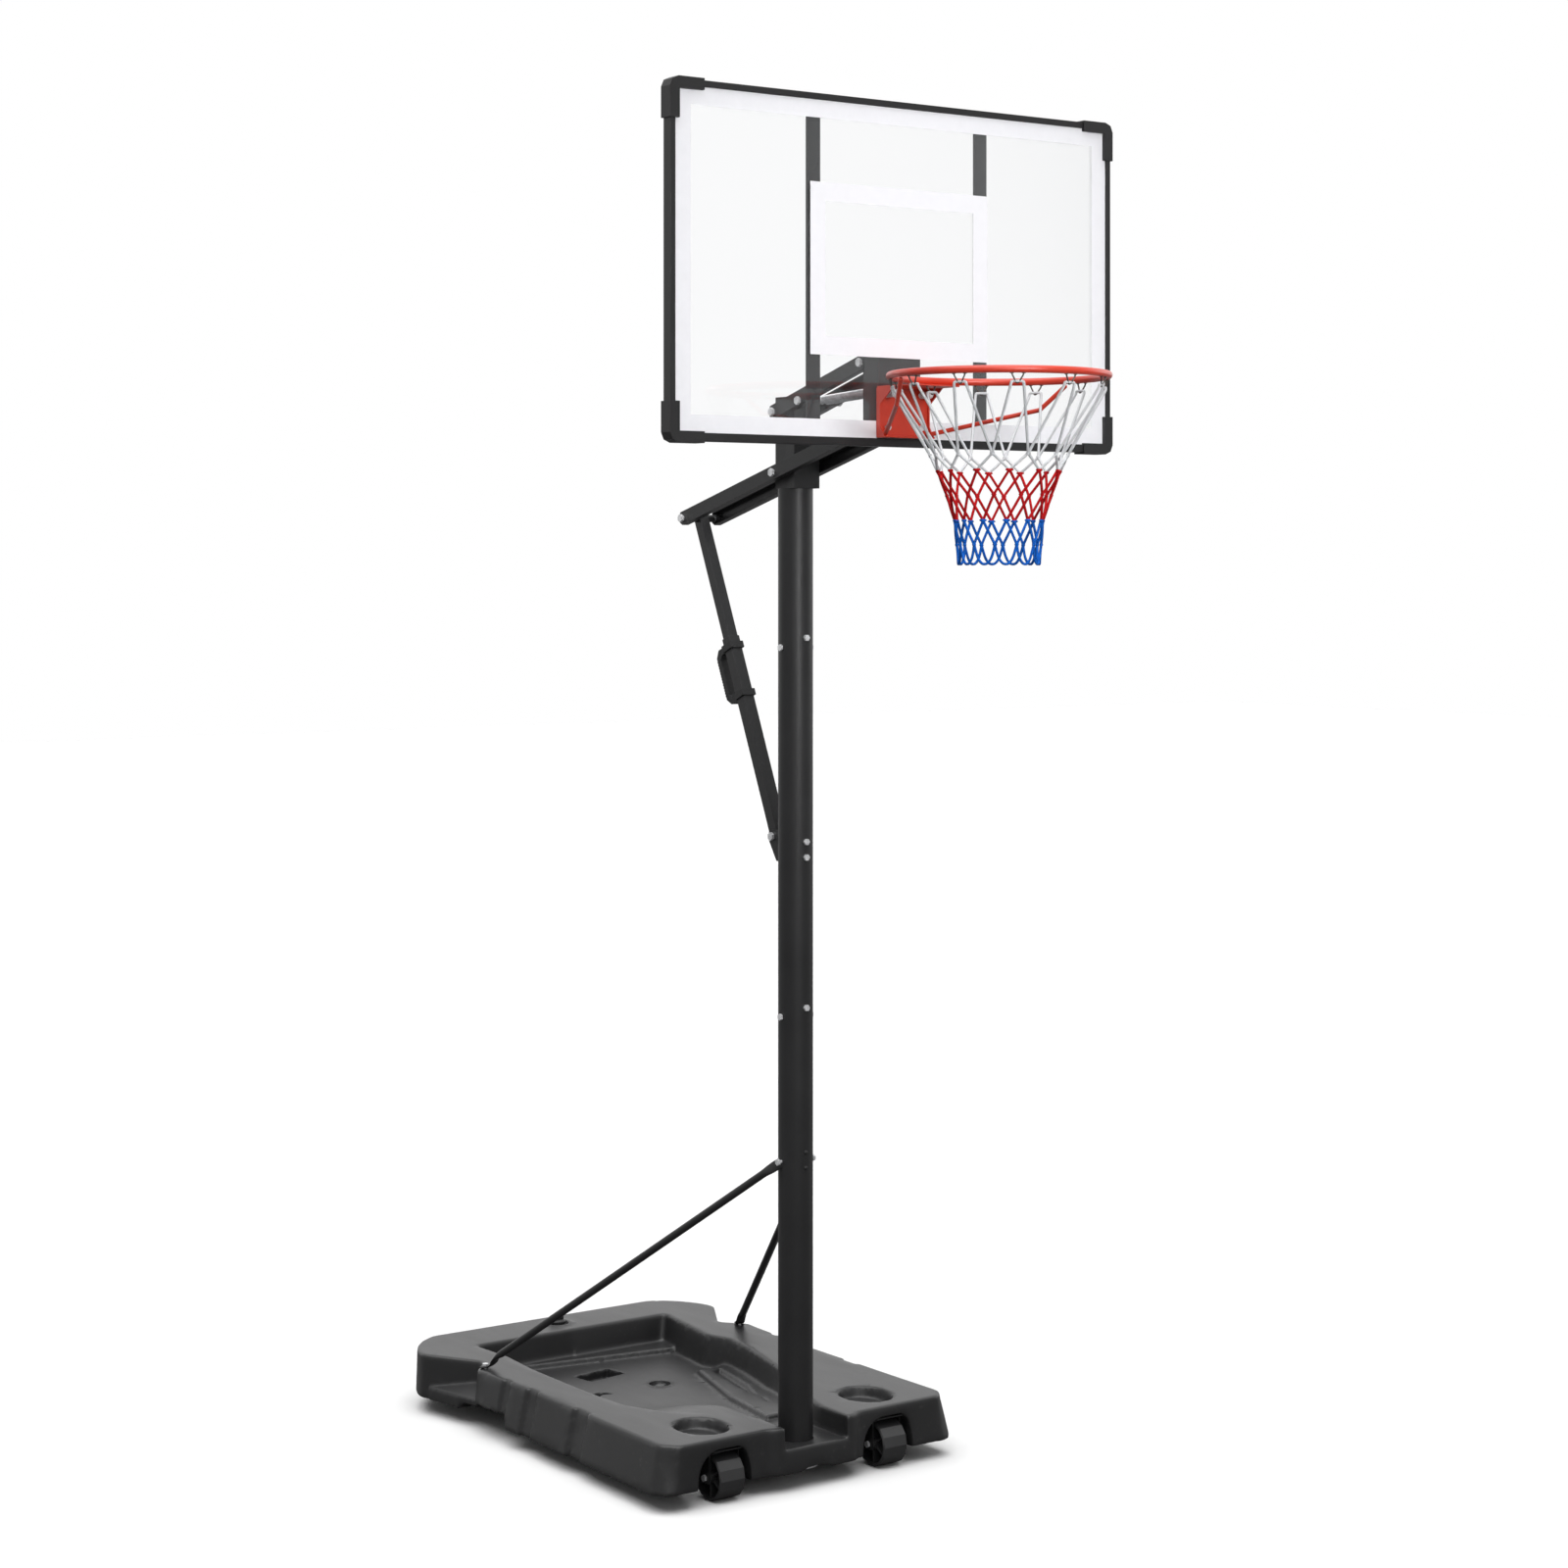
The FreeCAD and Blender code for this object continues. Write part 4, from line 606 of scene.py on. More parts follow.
def boxDistance(x, y, z, low, high, radius=0.0):
    parts = []
    for value, a, b in zip((x, y, z), low, high):
        parts.append(np.abs(value - (a + b) / 2) - (b - a) / 2 + radius)
    outside = np.sqrt(sum(np.maximum(part, 0) ** 2 for part in parts))
    return outside + np.minimum(np.maximum(np.maximum(parts[0], parts[1]), parts[2]), 0) - radius


def rodDistance(across, along, radius, low, high):
    return np.maximum(np.sqrt(across[0] ** 2 + across[1] ** 2) - radius, np.maximum(low - along, along - high))


def tankShell(settings, x, y, z):
    # the outside, with shallow flutes down each long side, whose walls lean outwards to the floor
    half = settings["half"]
    corners = half + [(-a, b) for a, b in reversed(half) if a]
    plan = blurred(outlineDistance(x[..., 0], y[..., 0], corners), 2)[..., None]
    side = (np.abs(x) > 330) * (y < 700)
    for middle, halfWidth, deep in settings["flutes"]:
        plan = plan + side * deep * np.clip((halfWidth + 3 - np.abs(y - middle)) / 6, 0, 1)
    least, most = settings["flare"]
    lean = least + most * np.clip((np.abs(x) - 360) / 40, 0, 1) * np.clip((790 - y) / 60, 0, 1)
    wall = plan - (settings["flareFrom"] - z) * lean
    return smoothMax(smoothMax(wall, z - settings["top"], settings["edge"]), settings["under"] - z, 9)


def tankWell(settings, x, y, z):
    # steep round its edge, its floor rising towards the near front, with a ledge along the rear
    rises, channel = settings["wellFloor"], settings["channel"]
    well = blurred(outlineDistance(x[..., 0], y[..., 0], settings["farSide"] + settings["nearSide"]), 2)[..., None]
    rise = np.clip((560 - y) / 440, 0, 1) * np.clip((60 - x) / 160, 0, 1)
    floor = rises["low"] + rises["nearRise"] * rise * rise * (3 - 2 * rise)
    floor = np.maximum(floor, rises["low"] + rises["frontRise"] * np.clip((420 - y) / 300, 0, 1))
    ledge = rises["ledge"] * np.clip((y - 905 - 0.16 * (200 - x)) / 6, 0, 1)
    ridge = rises["ridge"] * np.clip((x - 30 - (y - 180) * 0.30) / 7, 0, 1) * np.clip((700 - y) / 30, 0, 1)
    dip = rises["groove"] * np.clip(-outlineDistance(x[..., 0], y[..., 0], settings["groove"]) / 6, 0, 1)[..., None]
    floor = floor + ledge + ridge - dip
    steep = np.where(x > 0, 1.25, 1.9)
    edge = well + np.clip(settings["top"] - z, 0, 90) / steep * 0.22
    lane = smoothMax(np.abs(x) - channel["half"], channel["floor"] + 4 * np.clip((-60 - y) / 25, 0, 1) - z, 5)
    return smoothMin(smoothMax(edge, floor - z, 10), np.maximum(lane, y - channel["end"]), 10)


def tankSides(settings, body, sign, x, y, z):
    top, under, cup, arch = (settings[key] for key in ("top", "under", "cup", "wheelArch"))
    # an oval dish with a lower hollow, by each front corner
    across, along = (x - sign * cup["x"]) / cup["half"][0], (y - cup["y"]) / cup["half"][1]
    dish = (np.sqrt(across ** 2 + along ** 2) - 1) * 64 + (top - z) * 0.3
    body = smoothMax(body, -smoothMax(dish, cup["floor"] + 3 * along - z, 5), 3)
    hollow = ovalDistance(x, y, z, (sign * cup["x"] - 6, cup["y"] - 18, cup["floor"]), cup["hollow"])
    body = smoothMax(body, -hollow, 2)
    # an arch over each wheel that opens wide to the front
    share = np.clip((arch["back"] - y) / (arch["back"] - arch["front"]), 0, 1)
    aside = x - sign * arch["x"]
    left, right = [near + (far - near) * share for near, far in (arch["left"], arch["right"])]
    reach, wide = np.abs(aside), np.where(aside > 0, right, left)
    curve = (np.maximum(reach - 20, 0) / (wide - 20)) ** 2.4
    curve = curve + (np.maximum(z - arch["spring"], 0) / arch["high"]) ** 2.4
    body = smoothMax(body, -np.maximum((curve ** (1 / 2.4) - 1) * 45, y - arch["back"]), 6)
    holeX, holeY, holeRadius = settings["braceHole"]
    body = np.maximum(body, -rodDistance((x - sign * holeX, y - holeY), z, holeRadius, 100, 200))
    # a sloping shelf in the waist, and the handhold cut up under it
    shelf = settings["shelf"]
    inward = 404 + (y - 790) * 0.186 - x * sign
    slope = smoothMax(-inward, z - shelf["low"] - shelf["slope"] * inward, 3)
    slope = smoothMax(slope, np.maximum(np.abs(y - shelf["y"]) - shelf["half"], under - z), 3)
    body = smoothMin(body, np.maximum(slope, inward - shelf["wide"]), 3)
    for first, last, high in settings["handholds"]:
        hold = boxDistance(x, y, z, (sign * 400 - 90, first, -60), (sign * 400 + 90, last, high), 24)
        body = smoothMax(body, -hold, 5)
    return body


def tankMarks(settings, body, x, y, z):
    # small marks on the well's floor: a stacking pocket, a round plug and a half-moon
    pocket, plug, moon, filler = (settings[key] for key in ("pocket", "plug", "moon", "filler"))
    (atX, atY), (halfX, halfY), skew = pocket["at"], pocket["half"], pocket["skew"]
    along, across = (x - atX) + (y - atY) * skew, (y - atY) - (x - atX) * skew
    body = smoothMax(body, -boxDistance(along, across, z, (-halfX, -halfY, pocket["low"]), (halfX, halfY, 120), 3), 1.5)
    (rim, bowl, button), (rimTop, bowlFloor, buttonTop), low = plug["radii"], plug["heights"], plug["low"]
    away = np.sqrt((x - plug["at"][0]) ** 2 + (y - plug["at"][1]) ** 2)
    body = smoothMin(body, smoothMax(away - rim, np.maximum(z - rimTop, low - z), 2), 2)
    body = smoothMax(body, -np.maximum(away - bowl, bowlFloor - z), 1.5)
    body = smoothMin(body, smoothMax(away - button, np.maximum(z - buttonTop, low - z), 3), 3)
    disc, bite = [np.sqrt((x - a) ** 2 + (y - b) ** 2) for a, b in (moon["at"], moon["biteAt"])]
    crescent = np.maximum(disc - moon["radius"], moon["bite"] - bite)
    body = smoothMax(body, -np.maximum(crescent, moon["floor"] - z), 1.5)
    # a raised ring round the filler, its hole, and the pole's seat
    away = np.sqrt(x ** 2 + (y - filler["y"]) ** 2)
    ring, thick = filler["ring"]
    body = smoothMin(body, np.sqrt((away - ring) ** 2 + (z - settings["top"] + 1) ** 2) - thick, 4)
    for radius, floor in (filler["rebate"], filler["hole"]):
        body = np.maximum(body, -np.maximum(away - radius, floor - z))
    body = np.maximum(body, -rodDistance((x, y), z, settings["poleHole"], 0, 200))
    recess, high = settings["poleRecess"]
    return np.maximum(body, -rodDistance((x, y), z, recess, -50, high))


def tankDistance(settings, x, y, z):
    body = tankShell(settings, x, y, z)
    body = smoothMax(body, -tankWell(settings, x, y, z), 7)
    for sign in (-1, 1):
        body = tankSides(settings, body, sign, x, y, z)
    lip, under, feet = settings["lip"], settings["under"], settings["feet"]
    bow = 1 - np.clip(np.abs(x) / lip["half"], 0, 1) ** 2.5
    body = smoothMax(body, -np.maximum(z - under - (lip["top"] - under) * bow, y + 40), 3)
    body = tankMarks(settings, body, x, y, z)
    for footY in feet["y"]:
        foot = np.sqrt((np.abs(x) - feet["x"]) ** 2 + (y - footY) ** 2) - feet["radius"] + (0.2 * (60 - z))
        body = smoothMin(body, smoothMax(foot, np.maximum(0.3 - z, z - 60), 3), 6)
    return body


def surfaceOf(name, spacing, low, high, distance, thinning):
    # the closed surface where the distance is zero, as a mesh in metres
    axes = [np.arange(a, b + spacing, spacing) for a, b in zip(low, high)]
    x, y, z = np.meshgrid(*axes, indexing="ij", sparse=True)
    x, y = np.broadcast_arrays(x, y)
    values = np.array(np.broadcast_to(distance(x, y, z), [len(axis) for axis in axes]), np.float64)
    for edge in (values[0], values[-1], values[:, 0], values[:, -1], values[:, :, 0], values[:, :, -1]):
        np.maximum(edge, spacing, out=edge)  # nothing runs out through the grid's sides
    grid = openvdb.FloatGrid(background=3 * spacing)
    grid.copyFromArray(values / spacing)
    points, triangles, quads = grid.convertToPolygons(isovalue=0.0, adaptivity=thinning)
    points = (points * spacing + np.array(low)) / 1000
    points[:, 1] += poleY
    return meshFrom(name, points, [list(f) for f in triangles] + [list(f) for f in quads])


def makeTank(settings):
    low, high = settings["low"], settings["high"]
    mesh = surfaceOf("baseTank", settings["spacing"], low, high, lambda x, y, z: tankDistance(settings, x, y, z), 0.02)
    tank = finishPiece("baseTank", mesh, "stand", "tank_plastic", ["base_tank"], 50.0)

    def waterDistance(x, y, z):
        return smoothMax(tankDistance(settings, x, y, z) + settings["waterDepth"], z - settings["waterTop"], 3)

    water = surfaceOf("ballastWater", settings["waterSpacing"], low, high, waterDistance, 0.05)
    finishPiece("ballastWater", water, "stand", "water", ["ballast_water"], 60.0)
    return tank


tank = makeTank(tankSettings)
print("base tank made:", len(tank.data.polygons), "faces")


# the wheels: a faceted tread, a hub and turned spokes
wheelSettings = {"radius": 0.0535, "facets": 14, "half": 0.0345, "place": (0.232, poleY - 0.028, 0.054), "spokes": 6}


def revolved(name, profile, sides, axis="x"):
    # a closed profile of (along, radius) points turned round an axis
    points, faces = [], []
    count = len(profile)
    for step in range(sides):
        turn = 2 * math.pi * step / sides
        for along, radius in profile:
            u, v = radius * math.cos(turn), radius * math.sin(turn)
            points.append((along, u, v) if axis == "x" else (u, v, along))
        for k in range(count):
            following = (step + 1) % sides
            faces.append((step * count + k, step * count + (k + 1) % count,
                          following * count + (k + 1) % count, following * count + k))
    return meshFrom(name, points, faces)


def bevelBox(name, low, high, width, segments=2):
    bm = bmesh.new()
    bmesh.ops.create_cube(bm, size=1.0)
    for vertex in bm.verts:
        vertex.co = [a + (b - a) * (c + 0.5) for a, b, c in zip(low, high, vertex.co)]
    bmesh.ops.bevel(bm, geom=list(bm.edges), offset=width, segments=segments, profile=0.5, affect="EDGES")
    return meshOf(name, bm)


def copiesTree(name, inputs, laidOut):
    # copies of a mesh object, set out by the function given
    group = NodeGroup(name, {"Part": ("Object", None), "Count": ("Int", 6), **inputs, "Material": ("Material", None)})
    part = group.node("GeometryNodeObjectInfo", {"transform_space": "ORIGINAL"}, {0: group.given("Part")}, "Geometry")
    return group.close(laidOut(group, part))


def inRow(group, part):
    step = group.node("ShaderNodeCombineXYZ", {}, {2: group.given("Pitch")})
    line = group.node("GeometryNodeMeshLine", {"mode": "OFFSET"}, {"Count": group.given("Count"), "Offset": step})
    return group.node("GeometryNodeInstanceOnPoints", {}, {"Points": line, "Instance": part})


turnedCopies = copiesTree("turnedCopies", {}, lambda group, part: group.ringOf(part, group.given("Count")))
rowOfCopies = copiesTree("rowOfCopies", {"Pitch": ("Float", 0.007)}, inRow)


def copied(tree, mesh, count, slotName, **values):
    held = linked("copiedPart", mesh)
    result = runGroup(tree, {"Part": held, "Count": count, **values}, slotName)
    bpy.data.objects.remove(held)
    return result


def makeWheels(settings):
    radius, half = settings["radius"], settings["half"]
    inner = radius - 0.006
    rim = [(-half, inner), (-half, radius - 0.003), (-half + 0.0025, radius), (half - 0.0025, radius),
           (half, radius - 0.003), (half, inner), (0.003, inner - 0.001), (-0.003, inner - 0.001)]
    tread = revolved("tread", rim, settings["facets"])
    hub = revolved("hub", [(-half, 0.0043), (-half, 0.0125), (-half + 0.0015, 0.014), (half - 0.0015, 0.014),
                           (half, 0.0125), (half, 0.0043)], 32)
    web = revolved("web", [(-0.002, 0.012), (-0.002, inner), (0.002, inner), (0.002, 0.012)], 28)
    spoke = bevelBox("spoke", (0.012, -0.0025, -0.027), (inner, 0.0025, 0.027), 0.001)
    spokes = copied(turnedCopies, spoke, settings["spokes"], "wheel_plastic")
    spokes.transform(Matrix.Rotation(math.radians(90), 4, "Y"))
    for side, sign in (("left", -1), ("right", 1)):
        mesh = joinMeshes("wheel" + side.title(), [tread, hub, web, spokes])
        x, y, z = settings["place"]
        moved(mesh, (sign * x, y, z))
        finishPiece("wheel" + side.title(), mesh, "wheel_" + side, "wheel_plastic", ["wheel_" + side], 18.0)


makeWheels(wheelSettings)
print("wheels made")


# the two braces: tubes pressed flat at each end, where a bolt holds them
braceSettings = {
    "radius": 0.0092, "flat": (0.0125, 0.0032), "top": (0.0432, poleY, 0.740), "foot": (0.380, poleY + 0.775, 0.1535),
    "sides": 20, "pressed": 0.075, "screwHeights": (0.727, 0.763),
}


def pressedTube(name, route, settings):
    # a tube along a smooth route; each of its rings is round, or flat near the ends
    first, last, sides = route[0], route[-1], settings["sides"]
    curve = curveObject(name + "Route", [route])
    curve.data.resolution_u = 24
    line = bpy.data.meshes.new_from_object(curve)
    path = [v.co.copy() for v in line.vertices]
    bpy.data.objects.remove(curve)
    total = (last - first).length
    rings = []
    for k, place in enumerate(path):
        ahead = (path[min(k + 1, len(path) - 1)] - path[max(k - 1, 0)]).normalized()
        nearTop, nearFoot = (place - first).length, (place - last).length
        pressed = 1 - min(nearTop / settings["pressed"], nearFoot / settings["pressed"], 1)
        pressed = min(1.0, pressed * 2.0)
        pressed = pressed * pressed * (3 - 2 * pressed)
        # the pole's end is flat against its side, the foot's end against the deck
        share = min(max((nearTop / total - 0.3) / 0.4, 0), 1)
        normal = Vector((1, 0, 0)).lerp(Vector((0, 0, 1)), share)
        thin = (normal - ahead * normal.dot(ahead)).normalized()
        wide = ahead.cross(thin)
        a, b = [settings["radius"] + (flat - settings["radius"]) * pressed for flat in settings["flat"]]
        rings.append([place + wide * a * math.cos(t) + thin * b * math.sin(t)
                      for t in (2 * math.pi * j / sides for j in range(sides))])
    faces = [list(range(sides)), [(len(rings) - 1) * sides + j for j in range(sides)][::-1]]
    for k in range(len(rings) - 1):
        for j in range(sides):
            following = (j + 1) % sides
            faces.append([k * sides + j, k * sides + following, (k + 1) * sides + following, (k + 1) * sides + j])
    return meshFrom(name, [p for ring in rings for p in ring], faces)


def makeBraces(settings):
    top, foot = Vector(settings["top"]), Vector(settings["foot"])
    way = (foot - top).normalized()
    route = [top - way * 0.012 + Vector((-0.006, 0, 0)), top + way * 0.012 + Vector((-0.004, 0, 0)), top + way * 0.040,
             top + way * 0.065, foot - way * 0.070 + Vector((0, 0, 0.004)), foot - way * 0.040 + Vector((0, 0, 0.006)),
             foot - Vector((0.010, 0.014, -0.0012)), foot + Vector((0.0045, 0.009, -0.0005))]
    for side, sign in (("left", -1), ("right", 1)):
        mesh = pressedTube("brace" + side.title(), route, settings)
        if sign < 0:
            mesh.transform(Matrix.Scale(-1, 4, (1, 0, 0)))
            mesh.flip_normals()
        finishPiece("brace" + side.title(), mesh, "stand", "black_steel", ["brace_" + side], 40.0)
    # two dark screws on the front of the pole, above and below the braces' bolt
    screws = []
    for height in settings["screwHeights"]:
        head = [(0.0, 0.0001), (0.0, 0.0052), (-0.0016, 0.0052), (-0.0032, 0.0038), (-0.0038, 0.0001)]
        screw = revolved("poleScrew", head, 24)
        screw.transform(Matrix.Rotation(math.radians(90), 4, "Z"))
        moved(screw, (0, poleY - 0.0394, height))
        screws.append(screw)
    finishPiece("poleScrews", joinMeshes("poleScrews", screws), "stand", "cap_plastic", [], 40.0)


makeBraces(braceSettings)
print("braces made")


# the filler cap: a domed screw cap with finger ridges and a bar
capSettings = {"radius": 0.0215, "ridges": 28, "y": poleY + 1.060, "z": 0.1503}


def makeFillerCap(settings):
    r = settings["radius"]
    lid = revolved("lid", [(-0.023, 0.0001), (-0.023, 0.0225), (-0.0005, 0.0225), (0.0, r), (0.0065, r),
                           (0.0085, r - 0.002), (0.0092, r - 0.006), (0.0094, 0.0001)], 56, "z")
    ridge = bevelBox("ridge", (r - 0.0008, -0.0009, 0.0008), (r + 0.0013, 0.0009, 0.0066), 0.0004, 1)
    ridges = copied(turnedCopies, ridge, settings["ridges"], "cap_plastic")
    bar = bevelBox("bar", (-0.018, -0.004, 0.0082), (0.018, 0.004, 0.0168), 0.0018, 3)
    mesh = joinMeshes("fillerCap", [lid, ridges, bar])
    moved(mesh, (0, settings["y"], settings["z"]))
    finishPiece("fillerCap", mesh, "filler_cap", "cap_plastic", ["filler_cap"], 40.0)


makeFillerCap(capSettings)
print("filler cap made")


# coil springs: the lifting pair between the arms and the board, and the pair behind the rim's bolts
coilSettings = {
    "lift": {"wire": 0.0013, "radius": 0.0082, "pitch": 0.00275, "x": 0.0123, "from": (-0.1675, 2.4989),
             "to": (-0.408, 2.512), "hook": 0.0165, "around": 0.0064},
    "rim": {"wire": 0.00125, "radius": 0.0067, "turns": 7.0, "x": 0.049, "z": 2.4995, "from": -0.4862, "to": -0.5165},
}


def coilTree():
    group = NodeGroup("coil", {
        "Turns": ("Float", 8.0), "Radius": ("Float", 0.008), "Height": ("Float", 0.03), "Wire": ("Float", 0.001),
        "Material": ("Material", None),
    })
    spiral = group.node("GeometryNodeCurveSpiral", {}, {
        "Resolution": 16, "Rotations": group.given("Turns"), "Start Radius": group.given("Radius"),
        "End Radius": group.given("Radius"), "Height": group.given("Height"), "Reverse": False,
    })
    return group.close(group.tube(spiral, group.given("Wire"), 6))


coil = coilTree()


def coilBetween(start, end, turns, radius, wire):
    way = Vector(end) - Vector(start)
    values = {"Turns": turns, "Radius": radius, "Height": way.length, "Wire": wire}
    mesh = runGroup(coil, values, "spring_steel")
    mesh.transform(way.to_track_quat("Z", "X").to_matrix().to_4x4())
    moved(mesh, start)
    return mesh


def makeSprings(settings):
    lift, rim = settings["lift"], settings["rim"]
    for side, sign in (("left", -1), ("right", 1)):
        x = sign * lift["x"]
        first, last = Vector((x, *lift["from"])), Vector((x, *lift["to"]))
        way = (last - first).normalized()
        start, end = first + way * lift["hook"], last - way * lift["hook"]
        turns = (end - start).length / lift["pitch"]
        parts = [coilBetween(start, end, turns, lift["radius"], lift["wire"])]
        up = Vector((0, 0, 1))
        for eye, near, sense in ((first, start, 1), (last, end, -1)):
            # a hook from the coil's rim round the pin
            reach, around = way * sense, lift["around"]
            route = [near + up * lift["radius"], near - reach * 0.003 + up * 0.0075, near - reach * 0.006 + up * 0.0066,
                     eye + reach * 0.003 + up * around, eye + up * around, eye - reach * 0.0052 + up * 0.0048,
                     eye - reach * around, eye - reach * 0.0050 - up * 0.0048, eye - up * around,
                     eye + reach * 0.0045 - up * 0.0050]
            parts.append(repeatedTube("springEye", [route], 1, lift["wire"], "spring_steel"))
        name = "liftSpring" + side.title()
        piece = finishPiece(name, joinMeshes(name, parts), None, "spring_steel", ["lift_spring_" + side], 50.0)
        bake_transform(piece)
    parts = []
    for sign in (-1, 1):
        start = (sign * rim["x"], rim["from"], rim["z"])
        end = (sign * rim["x"], rim["to"], rim["z"])
        parts.append(coilBetween(start, end, rim["turns"], rim["radius"], rim["wire"]))
    piece = finishPiece("rimSprings", joinMeshes("rimSprings", parts), None, "spring_steel", ["rim_springs"], 50.0)
    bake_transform(piece)


makeSprings(coilSettings)
print("springs made")


# the net: one cell of cord between two hooks, repeated round the ring, with a knot at each crossing
netSettings = {
    "cells": 12, "cord": 0.0030, "loopHalf": 0.0135, "loopTop": 2.5003, "loopReach": 0.2285,
    "rows": [(0.1465, 2.355), (0.1320, 2.321), (0.1115, 2.270), (0.0950, 2.216), (0.0900, 2.165), (0.0870, 2.1245)],
    "knots": [(0.0052, 0.0050, 0.0042), (0.0086, 0.0040, 0.0042), (0.0052, 0.0042, 0.0042),
              (0.0080, 0.0040, 0.0042), (0.0048, 0.0042, 0.0040)],
}


def onRing(angle, radius, height, aside=0.0):
    c, s = math.cos(angle), math.sin(angle)
    return radius * c - aside * s, radius * s + aside * c, height


def knotMesh(name, centre, wide, tall, deep, angle):
    # a lumpy little knot: a ball squeezed to size with a waist
    bm = bmesh.new()
    bmesh.ops.create_icosphere(bm, subdivisions=2, radius=1.0)
    for vertex in bm.verts:
        lump = 1 + 0.14 * math.sin(5 * vertex.co.x + 2) * math.cos(4 * vertex.co.z + angle)
        vertex.co = Vector((vertex.co.x * deep, vertex.co.y * wide, vertex.co.z * tall)) * lump
    mesh = meshOf(name, bm)
    mesh.transform(Matrix.Rotation(angle, 4, "Z"))
    moved(mesh, centre)
    return mesh


def makeNet(settings):
    half = math.pi / settings["cells"]
    rows = settings["rows"]

    def onRow(row, angle, out=0.0):
        return onRing(angle, rows[row][0] + out, rows[row][1])

    wide, top, reach = settings["loopHalf"], settings["loopTop"], settings["loopReach"]
    splines = []
    for sign in (-1, 1):
        # a leg from the knot between two hooks up to the loop over this one
        foot = Vector(onRow(0, sign * half, 0.0006))
        shoulder = Vector(onRing(0, reach, top - 0.006, sign * wide))
        leg = [foot.lerp(shoulder, t) for t in (0.0, 0.2, 0.45, 0.7, 0.9)]
        splines.append(leg + [shoulder, onRing(0, reach, top - 0.0008, sign * wide * 0.93),
                              onRing(0, reach, top, sign * wide * 0.6), onRing(0, reach, top, 0)])

    def strand(start, end, bow):
        # a short length of cord between two knots, pulled slightly out of straight
        a, b = Vector(start), Vector(end)
        outward = Vector((a.x + b.x, a.y + b.y, 0)).normalized() * bow
        return [a, a.lerp(b, 0.3) + outward * 0.8, a.lerp(b, 0.5) + outward, a.lerp(b, 0.7) + outward * 0.8, b]

    for sign in (-1, 1):
        # down from row to row, between the middle of the cell and its edge
        for row in range(4):
            start, end = (sign * half, 0) if row % 2 == 0 else (0, sign * half)
            out, bow = (0.001 * sign, 0.001) if row else (0.0, 0.0005)
            splines.append(strand(onRow(row, start, out), onRow(row + 1, end), bow))
    # the bottom loop, the same to both sides
    radius, low = rows[5]
    down = [(1, *rows[4]), (0.86, radius + 0.001, 2.150), (0.62, radius, 2.134), (0.3, radius, low + 0.0005)]
    splines.append([onRing(-half * share, r, z) for share, r, z in down] + [onRing(0, radius, low - 0.0012)]
                   + [onRing(half * share, r, z) for share, r, z in reversed(down)])
    centre = (0, ringY, 0)
    cords = repeatedTube("cords", splines, settings["cells"], settings["cord"], "net_cord", centre)
    knots = []
    for row, size in enumerate(settings["knots"]):
        angle = half if row % 2 == 0 else 0
        knots.append(knotMesh("knot", onRow(row, angle), *size, angle))
    knotRing = copied(turnedCopies, joinMeshes("knotCell", knots), settings["cells"], "net_cord")
    moved(knotRing, centre)
    mesh = joinMeshes("net", [cords, knotRing])
    return finishPiece("net", mesh, "rim", "net_cord", ["net"], 60.0)


net = makeNet(netSettings)
print("net made:", len(net.data.polygons), "faces")


# the wire hooks under the ring, one for each of the net's loops
hookSettings = {"radius": 0.233, "wire": 0.0017, "top": 2.5162, "spread": 0.0125, "foot": 2.4962,
                "weld": (0.0048, 0.0022, 0.0036)}


def makeHooks(settings):
    radius, top, spread, foot = (settings[key] for key in ("radius", "top", "spread", "foot"))
    down = [(radius, spread, top), (radius, spread * 0.86, top - 0.005), (radius - 0.0012, spread * 0.6, foot + 0.010),
            (radius - 0.0035, spread * 0.34, foot + 0.003), (radius - 0.0050, spread * 0.12, foot)]
    route = down + [(out, -aside, height) for out, aside, height in reversed(down)]
    centre = (0, ringY, 0)
    mesh = repeatedTube("hooks", [route], 12, settings["wire"], "hook_wire", centre)
    weld = knotMesh("weld", (radius, 0, top + 0.0012), *settings["weld"], 0)
    beads = []
    for sign in (-1, 1):
        bead = weld.copy()
        moved(bead, (0, sign * spread, 0))
        beads.append(bead)
    welds = copied(turnedCopies, joinMeshes("hookWeld", beads), 12, "hook_wire")
    moved(welds, centre)
    finishPiece("netHooks", joinMeshes("netHooks", [mesh, welds]), "rim", "hook_wire", ["net_hooks"], 60.0)


makeHooks(hookSettings)
print("hooks made")


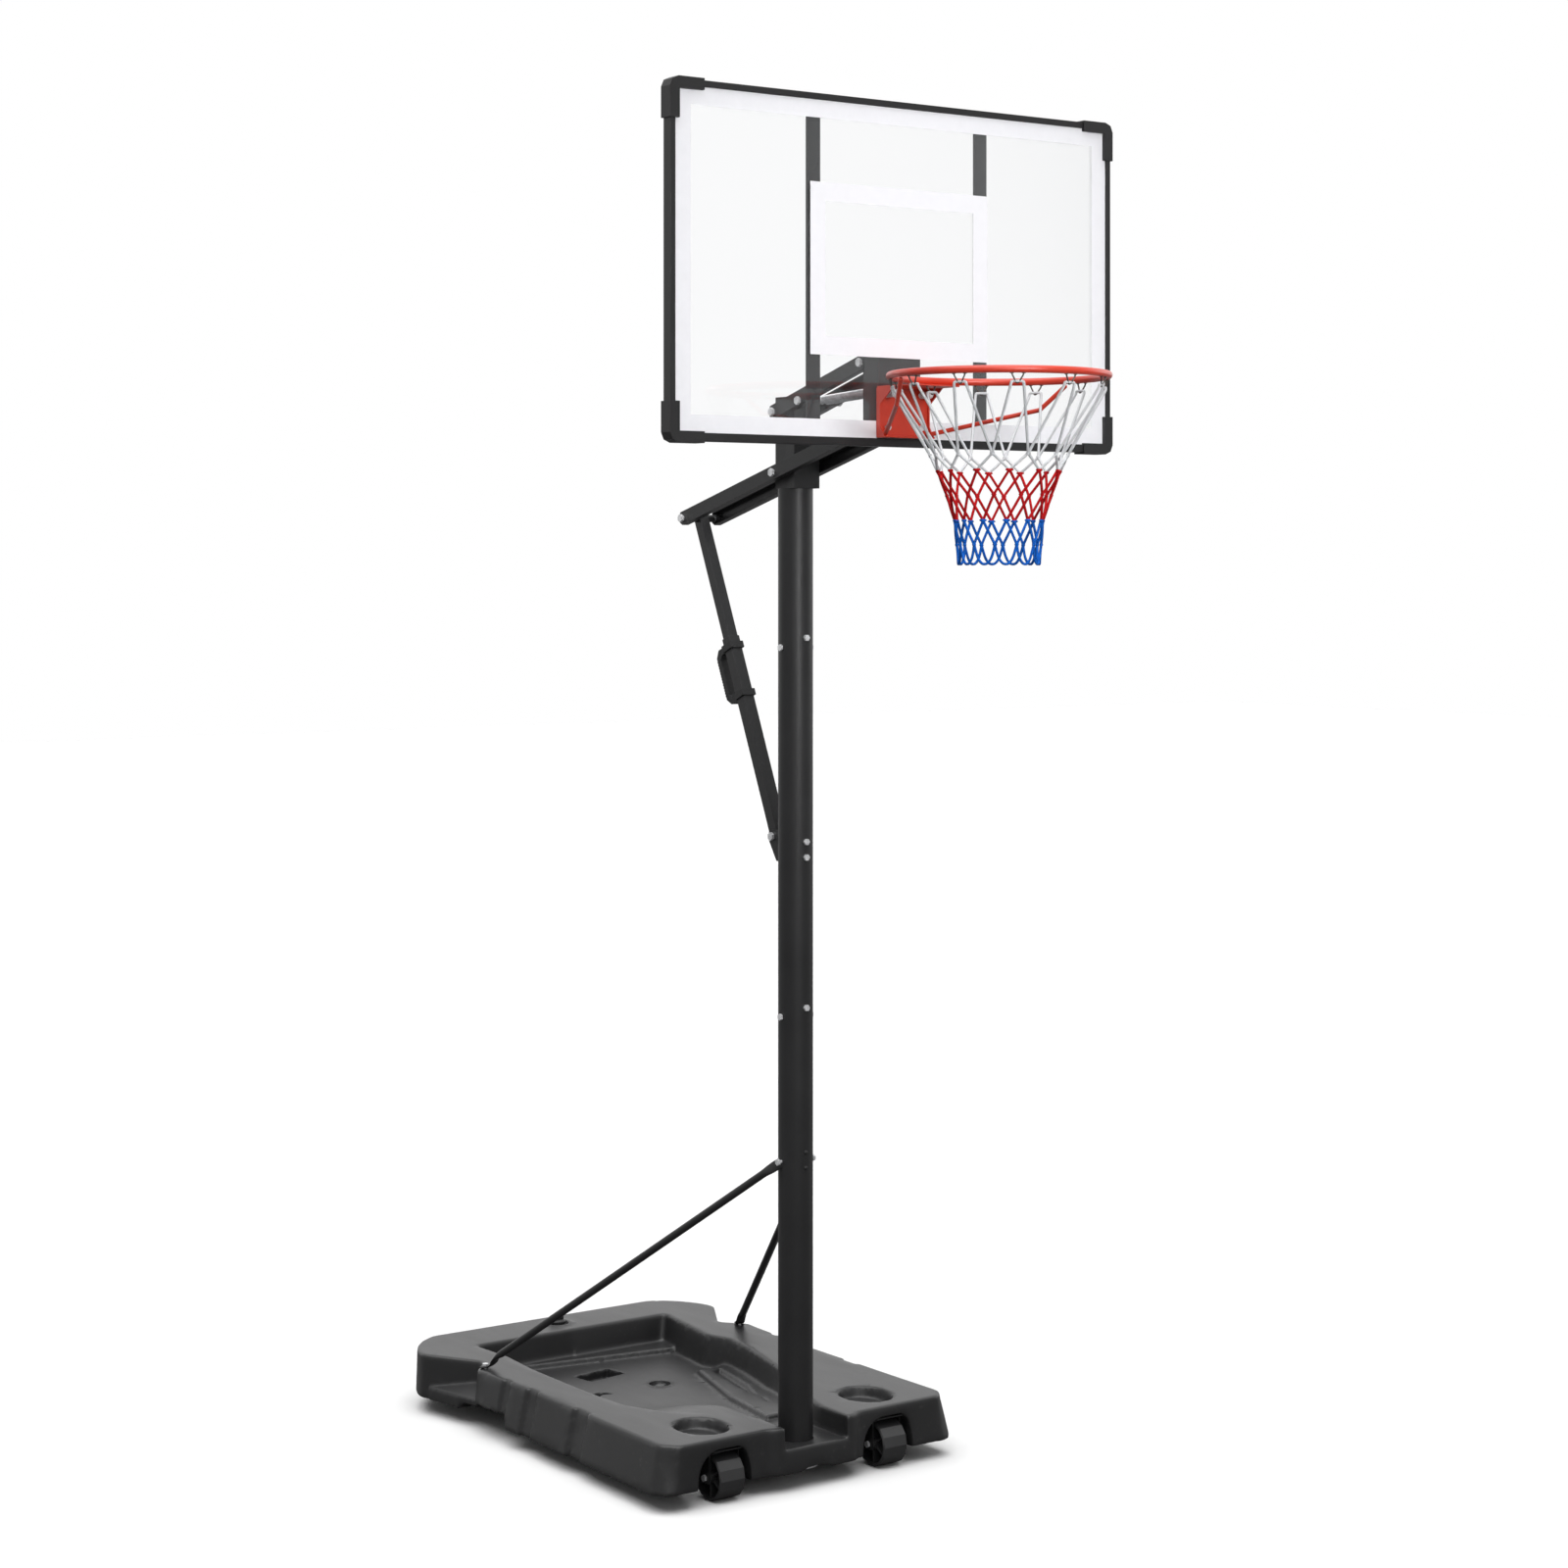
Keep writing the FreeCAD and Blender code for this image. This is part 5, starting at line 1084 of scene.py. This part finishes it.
# ribs down the outside of the height grip
gripSettings = {"ribs": 13, "pitch": 0.0072, "lean": 23.53, "foot": (0, -0.013, 1.48796), "firstRib": 0.3725}


def makeGrip(settings):
    lean = Matrix.Translation(settings["foot"]) @ Matrix.Rotation(math.radians(-settings["lean"]), 4, "X")
    rib = bevelBox("rib", (-0.0128, 0.0545, 0), (0.0128, 0.0592, 0.0038), 0.0012)
    ribs = copied(rowOfCopies, rib, settings["ribs"], "grip_plastic", Pitch=settings["pitch"])
    ribs.transform(lean @ Matrix.Translation((0, 0, settings["firstRib"])))
    finishPiece("gripRibs", ribs, "strut_lower", "grip_plastic", [], 40.0)
    softened("heightGrip", ["height_grip"], "strut_lower", "grip_plastic", 0.0016)


makeGrip(gripSettings)
print("grip made")


# the same solids again with broken edges, where the light would catch them
softSettings = [
    ("rimTray", ["rim_tray"], "rim", "rim_red", 0.0010),
    ("rimBackPlate", ["rim_back_plate"], "board", "rim_red", 0.0010),
    ("cornerCaps", ["corner_caps"], "board", "corner_plastic", 0.0022),
    ("frameRails", ["frame_rail_top", "frame_rail_bottom", "frame_rail_left", "frame_rail_right"], "board",
     "frame_black", 0.0009),
    *[(level + "Arm" + side.title(), [f"{level}_arm_{side}"], level + "_arms", "black_steel", 0.0009)
      for level in ("upper", "lower") for side in ("left", "right")],
    ("headBracket", ["head_bracket"], "stand", "black_steel", 0.0010),
    ("boardBracket", ["board_bracket"], "board", "black_steel", 0.0010),
    ("strutOuterTube", ["strut_outer_tube"], "strut_lower", "black_steel", 0.0018),
    ("strutInnerTube", ["strut_inner_tube"], "strut_upper", "black_steel", 0.0015),
    ("heightTrigger", ["height_trigger"], "trigger", "grip_plastic", 0.0010),
]
for name, sources, body, slotName, width in softSettings:
    softened(name, sources, body, slotName, width)
print("edges broken on", len(softSettings), "pieces")

# every other solid keeps its shape and gets its finish
dressed = 0
for node in nodes.values():
    if not node.hide_render:
        for place in node.material_slots:
            slotName = place.material.name.split(".")[0]
            place.material = slotFinishes[slotName]
            dressed += 1
print("other solids dressed:", dressed)

bpy.context.view_layer.update()
